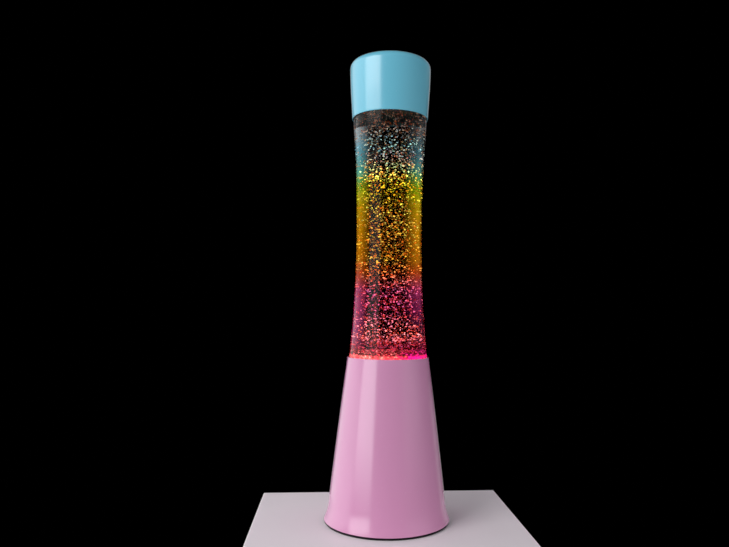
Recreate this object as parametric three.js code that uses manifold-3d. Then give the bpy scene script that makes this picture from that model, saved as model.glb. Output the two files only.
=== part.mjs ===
// A glitter motion lamp, 400 mm tall: a flared steel base that holds a reflector bulb, a waisted
// glass bottle of clear liquid and glitter standing in the base's rim, and a lift-off metal cap.
// Millimetres, +Z up. The origin is on the floor, in the middle of the foot.
import * as THREE from "three";
import { mergeVertices } from "three/addons/utils/BufferGeometryUtils.js";
import Module from "manifold-3d";

const wasm = await Module();
wasm.setup();

// Counts
const roundSides = 36; // the base, the bottle, the cap and what lines them
const midSides = 16; // the bulb and its holder
const smallSides = 8; // screws, rivets and holes
const wireSides = 6;
const flareSteps = 5;
const coneSteps = 3;
const bottleSteps = 5;
const capSteps = 4;
const bulbSteps = 5;
const leadSteps = 20;
const shortLeadSteps = 10;
const postSteps = 3;
const filletSteps = 4;
const rimSteps = 2; // across the small rounds at the rims
const footCount = 4;
const lugCount = 3;
const ventCount = 8;
const airHoleCount = 8;
const fluteCount = 21;
const stepsPerFlute = 3;
const rowsPerTurn = 5;
const stringCount = 8; // strings of drifting glitter
const flakesPerString = 20;
const flakeSides = 6;
const channelSteps = 9;

// Clearances and cuts
const seatGap = 0.3; // between two pieces that rest on or screw to each other
const fitGap = 0.3; // round a piece that passes through a hole
const overrun = 2; // how far a cutting tool runs past what it cuts

// Base shell
const shellHeight = 138.8;
const shellWall = 1;
const rimRadius = 35.5;
const rimRound = 0.5;
const coneBow = 0.15; // how far the cone's side swells in the middle
const flareRadius = 54.8;
const flareReach = 4.3; // how far the flare stands out from the cone
const flareHeight = 15.5;
const flareHandle = 9; // how long the flare's curve keeps the cone's direction

// Bottom plate and rubber feet
const plateWall = 0.8;
const plateInset = 0.7; // the plate's edge inside the flare's edge
const plateFlange = 4.6;
const dishDepth = 2.9;
const dishSlope = 2.4;
const ventRadius = 2.6;
const ventRingShare = 0.68; // the vents' circle in the plate's dish
const footPadRadius = 5;
const footInset = 0.8; // the feet inside the plate's dish edge
const footProud = 0.9; // the feet below the plate's flange
const footRound = 0.5;

// Lugs that hold the plate, and their screws
const lugWall = 1.2;
const lugWidth = 12;
const lugHeight = 30;
const lugReach = 10;
const lugScrewInset = 5.8; // the screw inside the plate's dish edge
const screwRadius = 1.2;
const screwHeadRadius = 2.7;
const screwHeadHeight = 1.6;
const screwLength = 6;
const earthScrewLength = 4;
const slotWidth = 0.7;
const slotDepth = 0.8;

// Seat of the bottle, inside the rim
const seatDepth = 11.4; // the bottle's foot below the rim
const seatWall = 1.2;
const seatHoleRadius = 25;
const seatLip = 3;
const seatSkirt = 9;
const airHoleRadius = 1.3;
const airHoleInset = 2.8; // the air holes inside the seat's edge
const padWall = 1.5;
const padInnerRadius = 25.6;
const padOuterRadius = 31;

// Bottle
const bottleHeight = 263.8;
const glassWall = 2.5;
const heelRadius = 34.2;
const heelHeight = 9.6;
const heelFlat = 29.8; // outer radius of the ring that the bottle stands on
const waistRadius = 28.6;
const waistHeight = 115.6; // above the bottle's foot
const lowerHandle = 38; // lengths of the side curve's handles
const heelHandle = 33;
const waistHandle = 70;
const shoulderRadius = 31.95;
const shoulderHeight = 218.6;
const bellyHandle = 18;
const shoulderHandle = 20;
const neckHandle = 16;
const neckRadius = 14.6;
const neckHeight = 248.6;
const neckTopRadius = 12.9;
const beadRadius = 13.3;
const beadHeight = 2.6;
const beadRound = 0.9;
const mouthRadius = 8;
const mouthDepth = 12;
const footRingWidth = 7;
const puntHeight = 4;
const puntSideShare = 0.75; // of the punt's height, half way out
const floorWall = 7;

// Liquid and glitter
const fillHeight = 235; // above the bottle's foot
const glitterHeight = 15.9; // the settled glitter's top above the bottle's foot
const flakeRadius = 0.9;
const flakeWall = 0.3; // in its middle; it is thin at its corners
const flakeRiseShare = 1.2; // of a flake's radius, from one flake up to the next
const flakeSwayShare = 3; // of a flake's radius, how far a string sways to each side
const flakeTwistShare = 0.14; // of a turn, from one flake to the next
const stringTurnShare = 0.382; // of a turn, from one string round to the next
const stringTopShare = 0.92; // of the liquid's height, as far as the strings climb

// Crown closure
const crownWall = 0.4;
const crownTopRadius = 13;
const crownBendRadius = 14.1;
const crownBendDrop = 0.9;
const crownSkirt = 5.8;
const fluteInner = 14.7;
const fluteOuter = 16;
const linerWall = 0.6;
const linerRadius = 12.3;

// Cap
const capHeight = 50.9;
const capWall = 1;
const capFootRadius = 33.3;
const capRadius = 35.4;
const capRound = 6;
const capDome = 0.6;
const capHandle = 14;
const capEdgeRound = 0.4;
const foamWall = 3;
const foamRadius = 18;

// Bracket, nipple and nut under the lampholder
const bracketWall = 1.5;
const bracketWidth = 16;
const bracketTop = 19.1; // the bracket's top above the plate
const bracketHalfTop = 12;
const bracketHalfFoot = 14.5;
const bracketHalfSpan = 27;
const rivetRadius = 1.5;
const rivetHeadRadius = 2.9;
const rivetHeadHeight = 1.1;
const nippleRadius = 5;
const nippleWall = 1;
const nippleLength = 15.4;
const nippleProud = 3.4; // the nipple below the nut
const nutAcrossFlats = 14;
const nutHeight = 3;

// Lampholder
const holderRadius = 14;
const holderWall = 2;
const cupHeight = 16.7;
const cupFloor = 3;
const cupShoulder = 12; // height of the step that the core sits on
const cupBore = 10;
const coreHeight = 13.7;
const leadHoleDepth = 5.7;
const leadHoleSpread = 5;
const skirtHeight = 30.4;
const skirtShoulder = 11.4; // height of the wide part round the core
const skirtBore = 8.7;
const skirtTopBore = 9.6;
const skirtChamfer = 1.5;
const holderScrewHeight = 8.7; // above the core's foot
const holderScrewLength = 6;
const contactWidth = 4;
const contactWall = 0.4;
const contactHalfFoot = 5;
const contactHalfTop = 1.6;
const contactRise = 1.4;

// Bulb
const bulbHeadroom = 8.9; // the bulb's front below the seat
const bulbRadius = 19.5;
const bulbWall = 0.8;
const tipRadius = 2.4;
const tipHeight = 1.5;
const insulatorHeight = 3;
const insulatorFootRadius = 3;
const insulatorRadius = 5.5;
const threadPitch = 2.822;
const threadTurns = 3.5;
const threadRadius = 6.55; // half way up the thread
const threadDepth = 0.8;
const threadClearance = 0.4;
const threadLead = 0.8; // plain stretch below the thread
const baseWall = 0.8;
const baseSkirt = 8;
const baseSkirtRadius = 7.1;
const baseEndRadius = 6.1;
const sleeveWall = 0.5;
const sleeveInset = 1; // the sleeve's foot below the thread's first turn
const neckInsert = 5; // the glass neck inside the metal base
const bulbWideShare = 0.74; // the widest place, up the glass's height
const bulbNeckShare = 0.45; // handles of the glass's curve, up the cone and the front
const bulbConeShare = 0.39;
const bulbFrontShare = 0.73;
const bulbFaceShare = 0.62; // of the bulb's radius
const stemRadius = 2.6;
const stemShare = 0.35; // the stem's top, up the glass's height
const stemFlareHeight = 4;
const postRadius = 0.5;
const postSpread = 5;
const postShare = 0.56;
const filamentRadius = 0.6;

// Terminal block, leads and earth
const blockWidth = 19;
const blockDepth = 12;
const blockHeight = 11;
const blockFront = 18.3; // the block's front face behind the lamp's axis
const blockPitch = 6;
const blockPoles = 3;
const blockChamfer = 1;
const blockBore = 1.5;
const blockBoreHeight = 5.2;
const blockScrewRadius = 1.6;
const blockScrewLength = 3.6;
const blockScrewSink = 1;
const pegRadius = 1.4;
const pegLength = 2.6;
const pegSpread = 4;
const leadRadius = 1;
const leadInsert = 3;
const leadSpread = 1.8; // the leads from the axis inside the nipple
const leadBend = 7;
const tagRadius = 3.1;
const tagWall = 0.8;
const tagReach = 9; // the earth tag behind the lamp's axis
const tagBarrel = 4;

// Cord inlet in the back of the shell
const inletHeight = 24; // above the shell's foot
const inletRadius = 4.5;
const grommetBore = 3.2;
const grommetFlange = 6.6;
const grommetLip = 1.6;
const grommetRound = 0.6;

// Where the pieces stand
const plateFoot = footProud;
const plateTop = plateFoot + dishDepth + plateWall; // the dished middle's upper face
const dishUnder = plateFoot + dishDepth;
const shellFoot = footProud + plateWall + seatGap;
const rimTop = shellFoot + shellHeight;
const flareTop = shellFoot + flareHeight;
const coneFootRadius = flareRadius - flareReach; // the cone where the flare starts
const plateRadius = flareRadius - plateInset;
const dishRadius = plateRadius - plateFlange - dishSlope;
const ventRing = dishRadius * ventRingShare;
const boltRing = dishRadius - lugScrewInset;
const footRing = dishRadius - footInset - footPadRadius;
const bottleFoot = rimTop - seatDepth;
const bottleTop = bottleFoot + bottleHeight;
const padFoot = bottleFoot - seatGap - padWall;
const ledgeTop = padFoot - seatGap;
const linerFoot = bottleTop + seatGap;
const crownTop = linerFoot + linerWall + seatGap + crownWall;
const foamFoot = crownTop + seatGap;
const capTop = foamFoot + foamWall + seatGap + capDome + capWall;
const capFoot = capTop - capHeight;
const bracketFoot = plateTop + seatGap;
const bracketUp = plateTop + bracketTop;
const cupFoot = bracketUp + seatGap;
const cupTop = cupFoot + cupHeight;
const coreFoot = cupFoot + cupShoulder + seatGap;
const coreTop = coreFoot + coreHeight;
const skirtFoot = cupTop + seatGap;
const skirtTop = skirtFoot + skirtHeight;
const tipFoot = coreTop + seatGap + contactWall + contactRise + seatGap;
const tipTop = tipFoot + tipHeight;
const insulatorFoot = tipTop + seatGap;
const baseFoot = insulatorFoot + insulatorHeight + seatGap;
const threadFoot = baseFoot + threadLead;
const threadTop = threadFoot + threadTurns * threadPitch;
const baseTop = threadTop + baseSkirt;
const bulbFoot = baseTop + seatGap; // the glass above the metal base
const bulbTop = ledgeTop - bulbHeadroom;
const bulbHeight = bulbTop - bulbFoot;
const nutTop = bracketUp - bracketWall - seatGap;
const nippleFoot = nutTop - nutHeight - nippleProud;
const blockFoot = plateTop + seatGap;

// Materials
function material(color, roughness, metalness, extra = {}) {
  return new THREE.MeshStandardMaterial({ color, roughness, metalness, ...extra });
}
const pinkPaint = material(0xdd9cc6, 0.25, 0);
const bluePaint = material(0x74bfd6, 0.25, 0);
const blackPaint = material(0x17151a, 0.45, 0.2);
const blackRubber = material(0x141416, 0.8, 0);
const silicone = material(0xd8d8d2, 0.7, 0);
const whiteFoam = material(0xe8e6e0, 0.9, 0);
const steel = material(0xa9abad, 0.35, 1);
const brass = material(0xc8a45a, 0.3, 1);
const nickel = material(0xc9c6bc, 0.25, 1);
const tungsten = material(0x5a5a5e, 0.4, 1);
const clearGlass = material(0xf4f8fa, 0.03, 0, { transparent: true, opacity: 0.3 });
const clearLiquid = material(0xeaf4f4, 0.05, 0, { transparent: true, opacity: 0.2 });
const glitterPink = material(0xff4d6a, 0.4, 0.3);
const glitterGold = material(0xffb45a, 0.3, 0.6);
const silveredGlass = material(0xd5d7da, 0.15, 0.6);
const whiteHolder = material(0xeeece4, 0.4, 0);
const ceramicWhite = material(0xf1efe9, 0.35, 0);
const vitrite = material(0x1b1a1e, 0.2, 0);
const linerGrey = material(0xbfc4c2, 0.7, 0);
const crownGold = material(0xd0b878, 0.3, 1);
const brownLead = material(0x6b3f22, 0.5, 0);
const blueLead = material(0x2f66b5, 0.5, 0);
const greenLead = material(0x6fa53a, 0.5, 0);

// Solids, cuts and joins
function solidOf(geometry) {
  const bare = geometry.index ? geometry.toNonIndexed() : geometry.clone();
  bare.deleteAttribute("normal");
  bare.deleteAttribute("uv");
  const merged = mergeVertices(bare, 1e-3);
  return new wasm.Manifold(
    new wasm.Mesh({
      numProp: 3,
      vertProperties: merged.attributes.position.array,
      triVerts: new Uint32Array(merged.index.array),
    }),
  );
}

function geometryOf(solid) {
  const mesh = solid.getMesh();
  const position = new Float32Array(mesh.numVert * 3);
  for (let i = 0; i < mesh.numVert; i++) {
    position.set(mesh.vertProperties.subarray(i * mesh.numProp, i * mesh.numProp + 3), i * 3);
  }
  const geometry = new THREE.BufferGeometry();
  geometry.setAttribute("position", new THREE.BufferAttribute(position, 3));
  geometry.setIndex(new THREE.BufferAttribute(mesh.triVerts, 1));
  geometry.computeVertexNormals();
  return geometry;
}

function cut(geometry, tools) {
  const left = tools.reduce((solid, tool) => solid.subtract(solidOf(tool)), solidOf(geometry));
  return geometryOf(left);
}

function join(geometries) {
  return geometryOf(geometries.map(solidOf).reduce((a, b) => a.add(b)));
}

function overlapOf(a, b) {
  return geometryOf(solidOf(a).intersect(solidOf(b)));
}

// A body turned about Z from [radius, height] pairs: up the outside, then down the inside.
function turned(profile, sides) {
  const points = profile.map(([r, z]) => new THREE.Vector2(r, z));
  return new THREE.LatheGeometry(points, sides).rotateX(Math.PI / 2);
}

function ring(outer, inner, low, high, sides) {
  return turned([[inner, low], [outer, low], [outer, high], [inner, high], [inner, low]], sides);
}

function rod(radius, low, high, sides) {
  return turned([[0, low], [radius, low], [radius, high], [0, high]], sides);
}

function block(width, depth, low, high) {
  return new THREE.BoxGeometry(width, depth, high - low).translate(0, 0, (low + high) / 2);
}

// An outline in the XZ plane, given as [x, z] pairs and thickened evenly to both sides of Y.
function slab(outline, width) {
  const shape = new THREE.Shape(outline.map(([x, z]) => new THREE.Vector2(x, z)));
  const solid = new THREE.ExtrudeGeometry(shape, { depth: width, bevelEnabled: false });
  return solid.translate(0, 0, -width / 2).rotateX(Math.PI / 2);
}

// Points of a quarter turn between two corners of a profile, bulging towards the given corner.
function fillet([r0, z0], [r1, z1], [rc, zc], steps = filletSteps) {
  const points = [];
  for (let i = 0; i <= steps; i++) {
    const t = (i / steps) * (Math.PI / 2);
    const a = 1 - Math.sin(t);
    const b = 1 - Math.cos(t);
    points.push([rc + (r0 - rc) * a + (r1 - rc) * b, zc + (z0 - zc) * a + (z1 - zc) * b]);
  }
  return points;
}

// Points of a curve between two ends, with one handle at each end; the first point is left out.
function swept(start, startHandle, endHandle, end, steps) {
  const curve = new THREE.CubicBezierCurve(
    new THREE.Vector2(...start),
    new THREE.Vector2(...startHandle),
    new THREE.Vector2(...endHandle),
    new THREE.Vector2(...end),
  );
  return curve.getPoints(steps).slice(1).map((p) => [p.x, p.y]);
}

// The profile moved inwards along its own normals. The profile runs upwards, outside to the right.
function insetOf(profile, distance) {
  return profile.map(([r, z], i) => {
    const [r0, z0] = profile[Math.max(i - 1, 0)];
    const [r1, z1] = profile[Math.min(i + 1, profile.length - 1)];
    const length = Math.hypot(r1 - r0, z1 - z0);
    return [r - ((z1 - z0) / length) * distance, z + ((r1 - r0) / length) * distance];
  });
}

// Where a profile that runs upwards has the given height.
function radiusAt(profile, height) {
  const i = profile.findIndex(([, z]) => z >= height);
  const [r0, z0] = profile[i - 1];
  const [r1, z1] = profile[i];
  return r0 + ((r1 - r0) * (height - z0)) / (z1 - z0);
}

// The stretch of an upward profile between two heights, with a point at each.
function between(profile, low, high) {
  const inner = profile.filter(([, z]) => z > low && z < high);
  return [[radiusAt(profile, low), low], ...inner, [radiusAt(profile, high), high]];
}

// A body from rows of points round the Z axis. Its ends are closed by flat middles, or it runs
// back into its first row.
function rowSolid(rows, closed) {
  const sides = rows[0].length;
  const position = rows.flat(2);
  const index = [];
  const last = closed ? rows.length : rows.length - 1;
  for (let j = 0; j < last; j++) {
    const low = j * sides;
    const high = ((j + 1) % rows.length) * sides;
    for (let i = 0; i < sides; i++) {
      const k = (i + 1) % sides;
      index.push(low + i, low + k, high + k, low + i, high + k, high + i);
    }
  }
  if (!closed) {
    const foot = rows.length * sides;
    const head = (rows.length - 1) * sides;
    position.push(0, 0, rows[0][0][2], 0, 0, rows[rows.length - 1][0][2]);
    for (let i = 0; i < sides; i++) {
      const k = (i + 1) % sides;
      index.push(foot, k, i, foot + 1, head + i, head + k);
    }
  }
  const geometry = new THREE.BufferGeometry();
  geometry.setAttribute("position", new THREE.Float32BufferAttribute(position, 3));
  geometry.setIndex(index);
  geometry.computeVertexNormals();
  return geometry;
}

function roundRow(radius, z, sides) {
  return Array.from({ length: sides }, (_, i) => {
    const angle = (i / sides) * 2 * Math.PI;
    const r = typeof radius === "function" ? radius(angle) : radius;
    return [r * Math.cos(angle), r * Math.sin(angle), z];
  });
}

// Rows of a rounded right-hand thread that is half its depth below its radius at the given height.
function threadRows(radius, low, high) {
  const count = Math.round(((high - low) / threadPitch) * rowsPerTurn);
  return Array.from({ length: count + 1 }, (_, j) => {
    const z = low + ((high - low) * j) / count;
    const turn = ((z - threadFoot) / threadPitch) * 2 * Math.PI;
    const wave = (angle) => radius + (threadDepth / 2) * Math.cos(turn - angle);
    return roundRow(wave, z, midSides);
  });
}

// A round wire along a smooth route of [x, y, z] points.
function wire(route, radius, steps) {
  const section = new THREE.Shape();
  section.absarc(0, 0, radius, 0, 2 * Math.PI, false);
  const extrudePath = new THREE.CatmullRomCurve3(route.map((p) => new THREE.Vector3(...p)));
  return new THREE.ExtrudeGeometry(section, { steps, curveSegments: wireSides / 2, extrudePath });
}

const lamp = new THREE.Group();

function place(name, geometry, finish, [x, y, z] = [0, 0, 0], turn = 0) {
  const mesh = new THREE.Mesh(geometry, finish);
  mesh.name = name;
  mesh.position.set(x, y, z);
  mesh.rotation.z = turn;
  lamp.add(mesh);
  return mesh;
}

function onCircle(radius, angle, z = 0) {
  return [radius * Math.cos(angle), radius * Math.sin(angle), z];
}

// Base shell: a bowed cone that flares at the foot, with a rounded rim and the cord inlet behind.
const coneSlope = (coneFootRadius - rimRadius) / (rimTop - flareTop);
const coneTilt = Math.atan(coneSlope);

function shellSide() {
  const foot = [flareRadius, shellFoot];
  const start = [coneFootRadius, flareTop];
  const footHandle = [flareRadius, shellFoot];
  const coneHandle = [coneFootRadius + coneSlope * flareHandle, flareTop - flareHandle];
  const side = [foot, ...swept(foot, footHandle, coneHandle, start, flareSteps)];
  const coneHeight = rimTop - rimRound - flareTop;
  for (let i = 1; i <= coneSteps; i++) {
    const share = i / coneSteps;
    const bow = coneBow * (1 - (2 * share - 1) ** 2);
    const z = flareTop + coneHeight * share;
    side.push([coneFootRadius - coneSlope * (z - flareTop) + bow, z]);
  }
  return side;
}

const shellOuter = shellSide();
const shellInner = shellOuter.map(([r, z]) => [r - shellWall, z]);
const inletZ = shellFoot + inletHeight;

function shellGeometry() {
  const [outerTop] = shellOuter.slice(-1);
  const [innerTop] = shellInner.slice(-1);
  const crest = [outerTop[0] - rimRound, rimTop];
  const rim = fillet(outerTop, crest, [outerTop[0], rimTop], rimSteps);
  const bend = fillet(crest, innerTop, [innerTop[0], rimTop], rimSteps);
  const inside = shellInner.slice(0, -1).reverse();
  const outline = [...shellOuter, ...rim.slice(1), ...bend.slice(1), ...inside, shellOuter[0]];
  const wall = turned(outline, roundSides);
  const drill = rod(inletRadius, 0, flareRadius + overrun, midSides).rotateX(-Math.PI / 2);
  return cut(wall, [drill.translate(0, 0, inletZ)]);
}
place("base_shell", shellGeometry(), pinkPaint);

// Bottom plate: a shallow dish with a flat flange under the shell's edge.
const rivetSpread = (bracketHalfFoot + bracketHalfSpan) / 2;
const pegY = blockFront + blockDepth / 2;
const lugAngle = (i) => -Math.PI / 2 + (i * 2 * Math.PI) / lugCount;
const footAngle = (i) => Math.PI / 4 + (i * 2 * Math.PI) / footCount;

function drillAt([x, y], radius) {
  return rod(radius, plateFoot - overrun, plateTop + overrun, smallSides).translate(x, y, 0);
}

function plateGeometry() {
  const slopeFoot = plateRadius - plateFlange;
  const dish = turned(
    [
      [0, dishUnder],
      [dishRadius, dishUnder],
      [slopeFoot, plateFoot],
      [plateRadius, plateFoot],
      [plateRadius, plateFoot + plateWall],
      [slopeFoot, plateFoot + plateWall],
      [dishRadius, plateTop],
      [0, plateTop],
    ],
    roundSides,
  );
  const holes = [];
  for (let i = 0; i < lugCount; i++) {
    holes.push(drillAt(onCircle(boltRing, lugAngle(i)), screwRadius + fitGap));
  }
  for (let i = 0; i < ventCount; i++) {
    holes.push(drillAt(onCircle(ventRing, ((i + 1 / 2) * 2 * Math.PI) / ventCount), ventRadius));
  }
  for (const side of [-1, 1]) {
    holes.push(drillAt([side * rivetSpread, 0], rivetRadius + fitGap));
    holes.push(drillAt([side * pegSpread, pegY], pegRadius + fitGap));
  }
  holes.push(drillAt([0, tagReach], screwRadius + fitGap));
  return cut(dish, holes);
}
place("bottom_plate", plateGeometry(), blackPaint);

// Rubber feet, stuck into the dish.
const footPad = turned(
  [
    [0, 0],
    [footPadRadius - footRound, 0],
    [footPadRadius, footRound],
    [footPadRadius, dishUnder - seatGap],
    [0, dishUnder - seatGap],
  ],
  midSides,
);
for (let i = 0; i < footCount; i++) {
  place(`rubber_foot_${i + 1}`, footPad, blackRubber, onCircle(footRing, footAngle(i)));
}

// Lugs welded inside the cone, with a leg over the plate for each screw.
function lugGeometry() {
  const legFoot = plateTop + seatGap;
  const top = legFoot + lugHeight;
  const coneAt = (z) => coneFootRadius - coneSlope * (z - flareTop) - shellWall - seatGap;
  const reach = boltRing - lugReach / 2;
  const profile = [
    [reach, legFoot],
    [coneAt(legFoot) - lugWall, legFoot],
    [coneAt(legFoot + lugWall), legFoot + lugWall],
    [coneAt(top), top],
    [coneAt(top) - lugWall, top],
    [coneAt(legFoot + lugWall) - lugWall, legFoot + lugWall],
    [reach, legFoot + lugWall],
    [reach, legFoot],
  ];
  const strip = block(flareRadius, lugWidth, legFoot - overrun, top + overrun);
  const lug = overlapOf(turned(profile, roundSides), strip.translate(flareRadius / 2, 0, 0));
  const hole = rod(screwRadius + fitGap, legFoot - overrun, legFoot + lugWall + overrun, smallSides);
  return cut(lug, [hole.translate(boltRing, 0, 0)]);
}

// A screw with its head below and a slot across it; the head's upper face is at height zero.
function screwGeometry(radius, headRadius, headHeight, length) {
  const profile = [
    [0, -headHeight],
    [headRadius - slotWidth / 2, -headHeight],
    [headRadius, slotWidth / 2 - headHeight],
    [headRadius, 0],
    [radius, 0],
    [radius, length],
    [0, length],
  ];
  const slot = block(2 * headRadius + overrun, slotWidth, -headHeight - overrun, slotDepth - headHeight);
  return cut(turned(profile, smallSides), [slot]);
}

const lugShape = lugGeometry();
const plateScrew = screwGeometry(screwRadius, screwHeadRadius, screwHeadHeight, screwLength);
for (let i = 0; i < lugCount; i++) {
  place(`plate_lug_${i + 1}`, lugShape, steel, [0, 0, 0], lugAngle(i));
  const [x, y] = onCircle(boltRing, lugAngle(i));
  place(`plate_screw_${i + 1}`, plateScrew, steel, [x, y, dishUnder - seatGap]);
}

// Seat of the bottle: a pressed ring welded inside the rim, and a soft pad on its ledge.
function seatGeometry() {
  const edge = (z) => radiusAt(shellInner, z) - seatGap;
  const under = ledgeTop - seatWall;
  const skirtEnd = ledgeTop - seatSkirt;
  const profile = [
    [seatHoleRadius, ledgeTop - seatLip],
    [seatHoleRadius + seatWall, ledgeTop - seatLip],
    [seatHoleRadius + seatWall, under],
    [edge(under) - seatWall, under],
    [edge(skirtEnd) - seatWall, skirtEnd],
    [edge(skirtEnd), skirtEnd],
    [edge(ledgeTop), ledgeTop],
    [seatHoleRadius, ledgeTop],
    [seatHoleRadius, ledgeTop - seatLip],
  ];
  const holes = [];
  for (let i = 0; i < airHoleCount; i++) {
    const [x, y] = onCircle(edge(ledgeTop) - airHoleInset, ((i + 1 / 2) * 2 * Math.PI) / airHoleCount);
    holes.push(rod(airHoleRadius, under - overrun, ledgeTop + overrun, wireSides).translate(x, y, 0));
  }
  return cut(turned(profile, roundSides), holes);
}
place("seat_ring", seatGeometry(), steel);
place("seat_pad", ring(padOuterRadius, padInnerRadius, padFoot, padFoot + padWall, roundSides), silicone);

// Bottle: heel, waisted side, shoulder and neck as one upward profile.
function bottleSide() {
  const at = (z) => bottleFoot + z;
  const heel = fillet([heelFlat, bottleFoot], [heelRadius, at(heelHeight)], [heelRadius, bottleFoot]);
  const waist = [waistRadius, at(waistHeight)];
  const shoulder = [shoulderRadius, at(shoulderHeight)];
  const neck = [neckRadius, at(neckHeight)];
  const heelTilt = (heelRadius - waistRadius) / (waistHeight - heelHeight);
  return [
    ...heel,
    ...swept(
      [heelRadius, at(heelHeight)],
      [heelRadius - 2 * heelTilt * heelHandle, at(heelHeight + heelHandle)],
      [waistRadius, at(waistHeight - lowerHandle)],
      waist,
      bottleSteps,
    ),
    ...swept(
      waist,
      [waistRadius, at(waistHeight + waistHandle)],
      [shoulderRadius, at(shoulderHeight - bellyHandle)],
      shoulder,
      bottleSteps,
    ),
    ...swept(
      shoulder,
      [shoulderRadius, at(shoulderHeight + shoulderHandle)],
      [neckRadius, at(neckHeight - neckHandle)],
      neck,
      bottleSteps,
    ),
  ];
}

const bottleOuter = bottleSide();
const bottleLine = bottleOuter.filter((_, i) => i % 2 === 0); // what the inside follows
const bottleInner = insetOf(bottleLine, glassWall);
const floorHeight = bottleFoot + floorWall;
const floorEdge = heelFlat - glassWall;
const puntRadius = heelFlat - footRingWidth;

function bottleGeometry() {
  const beadFoot = bottleTop - beadHeight;
  const mouthFoot = bottleTop - mouthDepth;
  const profile = [
    [0, bottleFoot + puntHeight],
    [puntRadius / 2, bottleFoot + puntHeight * puntSideShare],
    [puntRadius, bottleFoot],
    ...bottleOuter,
    [neckTopRadius, beadFoot - beadRound],
    [beadRadius, beadFoot],
    [beadRadius, bottleTop - beadRound],
    [beadRadius - beadRound, bottleTop],
    [mouthRadius + beadRound, bottleTop],
    [mouthRadius, bottleTop - beadRound],
    [mouthRadius, mouthFoot],
    ...bottleInner.filter(([, z]) => z > floorHeight).reverse(),
    [floorEdge, floorHeight],
    [puntRadius / 2, floorHeight + puntHeight * puntSideShare],
    [0, floorHeight + puntHeight],
  ];
  return turned(profile, roundSides);
}
place("glass_bottle", bottleGeometry(), clearGlass);

// Liquid from the settled glitter up to the shoulder, and the glitter on the bottle's floor.
const liquidWall = insetOf(bottleLine, glassWall + seatGap);
const glitterTop = bottleFoot + glitterHeight;
const liquidFoot = glitterTop + seatGap;
const liquidTop = bottleFoot + fillHeight;

function settledGeometry() {
  const floorTop = floorHeight + seatGap;
  return turned(
    [
      [0, floorTop + puntHeight],
      [puntRadius / 2, floorTop + puntHeight * puntSideShare],
      [floorEdge - seatGap, floorTop],
      ...liquidWall.filter(([, z]) => z > floorTop && z < glitterTop),
      [radiusAt(liquidWall, glitterTop), glitterTop],
      [0, glitterTop],
    ],
    roundSides,
  );
}
place("settled_glitter", settledGeometry(), glitterPink);

// Drifting glitter: hexagonal flakes that cling together in strings along the bottle's wall. A
// string climbs by even steps and sways to both sides, and each flake is twisted against the last.
function flakePlace(string, flake) {
  const rise = flakeRadius * flakeRiseShare;
  const low = liquidFoot + 2 * flakeRadius;
  const high = liquidFoot + (liquidTop - liquidFoot) * stringTopShare - rise * flakesPerString;
  const z = low + ((high - low) * string) / (stringCount - 1) + rise * flake;
  const wall = radiusAt(liquidWall, z);
  const wave = Math.sin((flake / (flakesPerString - 1)) * 2 * Math.PI);
  const sway = ((flakeRadius * flakeSwayShare) / wall) * wave;
  const angle = string * stringTurnShare * 2 * Math.PI + sway;
  return new THREE.Vector3(...onCircle(wall - flakeRadius - seatGap / 2, angle, z));
}

function flakeGeometry(string, flake) {
  const middle = flakePlace(string, flake);
  const along = flakePlace(string, flake + 1).sub(flakePlace(string, flake - 1)).normalize();
  const out = new THREE.Vector3(middle.x, middle.y, 0).normalize();
  const across = new THREE.Vector3().crossVectors(along, out).normalize();
  across.applyAxisAngle(along, flake * flakeTwistShare * 2 * Math.PI);
  const normal = new THREE.Vector3().crossVectors(across, along);
  const turn = new THREE.Matrix4().makeBasis(across, along, normal).setPosition(middle);
  const flat = turned([[0, -flakeWall / 2], [flakeRadius, 0], [0, flakeWall / 2]], flakeSides);
  return flat.applyMatrix4(turn);
}

// The way through the liquid that a string lies in, open to the wall.
function channelGeometry(string) {
  const route = [];
  for (let flake = -1; flake <= flakesPerString; flake++) route.push(flakePlace(string, flake).toArray());
  return wire(route, (flakeRadius + fitGap) / Math.cos(Math.PI / wireSides), channelSteps);
}

const channels = [];
for (let string = 0; string < stringCount; string++) {
  const flakes = Array.from({ length: flakesPerString }, (_, flake) => flakeGeometry(string, flake));
  place(`drifting_glitter_${string + 1}`, join(flakes), glitterGold);
  channels.push(channelGeometry(string));
}

function liquidGeometry() {
  const side = between(liquidWall, liquidFoot, liquidTop);
  return cut(turned([[0, liquidFoot], ...side, [0, liquidTop]], roundSides), channels);
}
place("liquid", liquidGeometry(), clearLiquid);

// Crown closure: a pressed disc with a fluted skirt, over a sealing disc.
function crownGeometry() {
  const sides = fluteCount * stepsPerFlute;
  const bendTop = crownTop - crownBendDrop;
  const hem = crownTop - crownSkirt;
  const flute = (inset) => (angle) => {
    const wave = (1 + Math.cos(fluteCount * angle)) / 2;
    return fluteInner - inset + (fluteOuter - fluteInner) * wave;
  };
  return rowSolid(
    [
      roundRow(crownTopRadius - crownWall, crownTop - crownWall, sides),
      roundRow(crownBendRadius - crownWall, bendTop - crownWall / 2, sides),
      roundRow(flute(crownWall), hem, sides),
      roundRow(flute(0), hem, sides),
      roundRow(crownBendRadius, bendTop, sides),
      roundRow(crownTopRadius, crownTop, sides),
    ],
    false,
  );
}
place("crown_liner", rod(linerRadius, linerFoot, linerFoot + linerWall, midSides), linerGrey);
place("crown_cap", crownGeometry(), crownGold);

// Cap: a drawn shell that widens to a rounded, slightly domed top, with a foam pad inside.
function capSide() {
  const roundFoot = capTop - capDome - capRound;
  const slope = (capRadius - capFootRadius) / (capHeight - capRound);
  const foot = [capFootRadius, capFoot];
  const brow = [capRadius, roundFoot];
  const side = swept(
    foot,
    [capFootRadius + slope * capHandle, capFoot + capHandle],
    [capRadius, roundFoot - capHandle],
    brow,
    capSteps,
  );
  return [foot, ...side];
}

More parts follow.
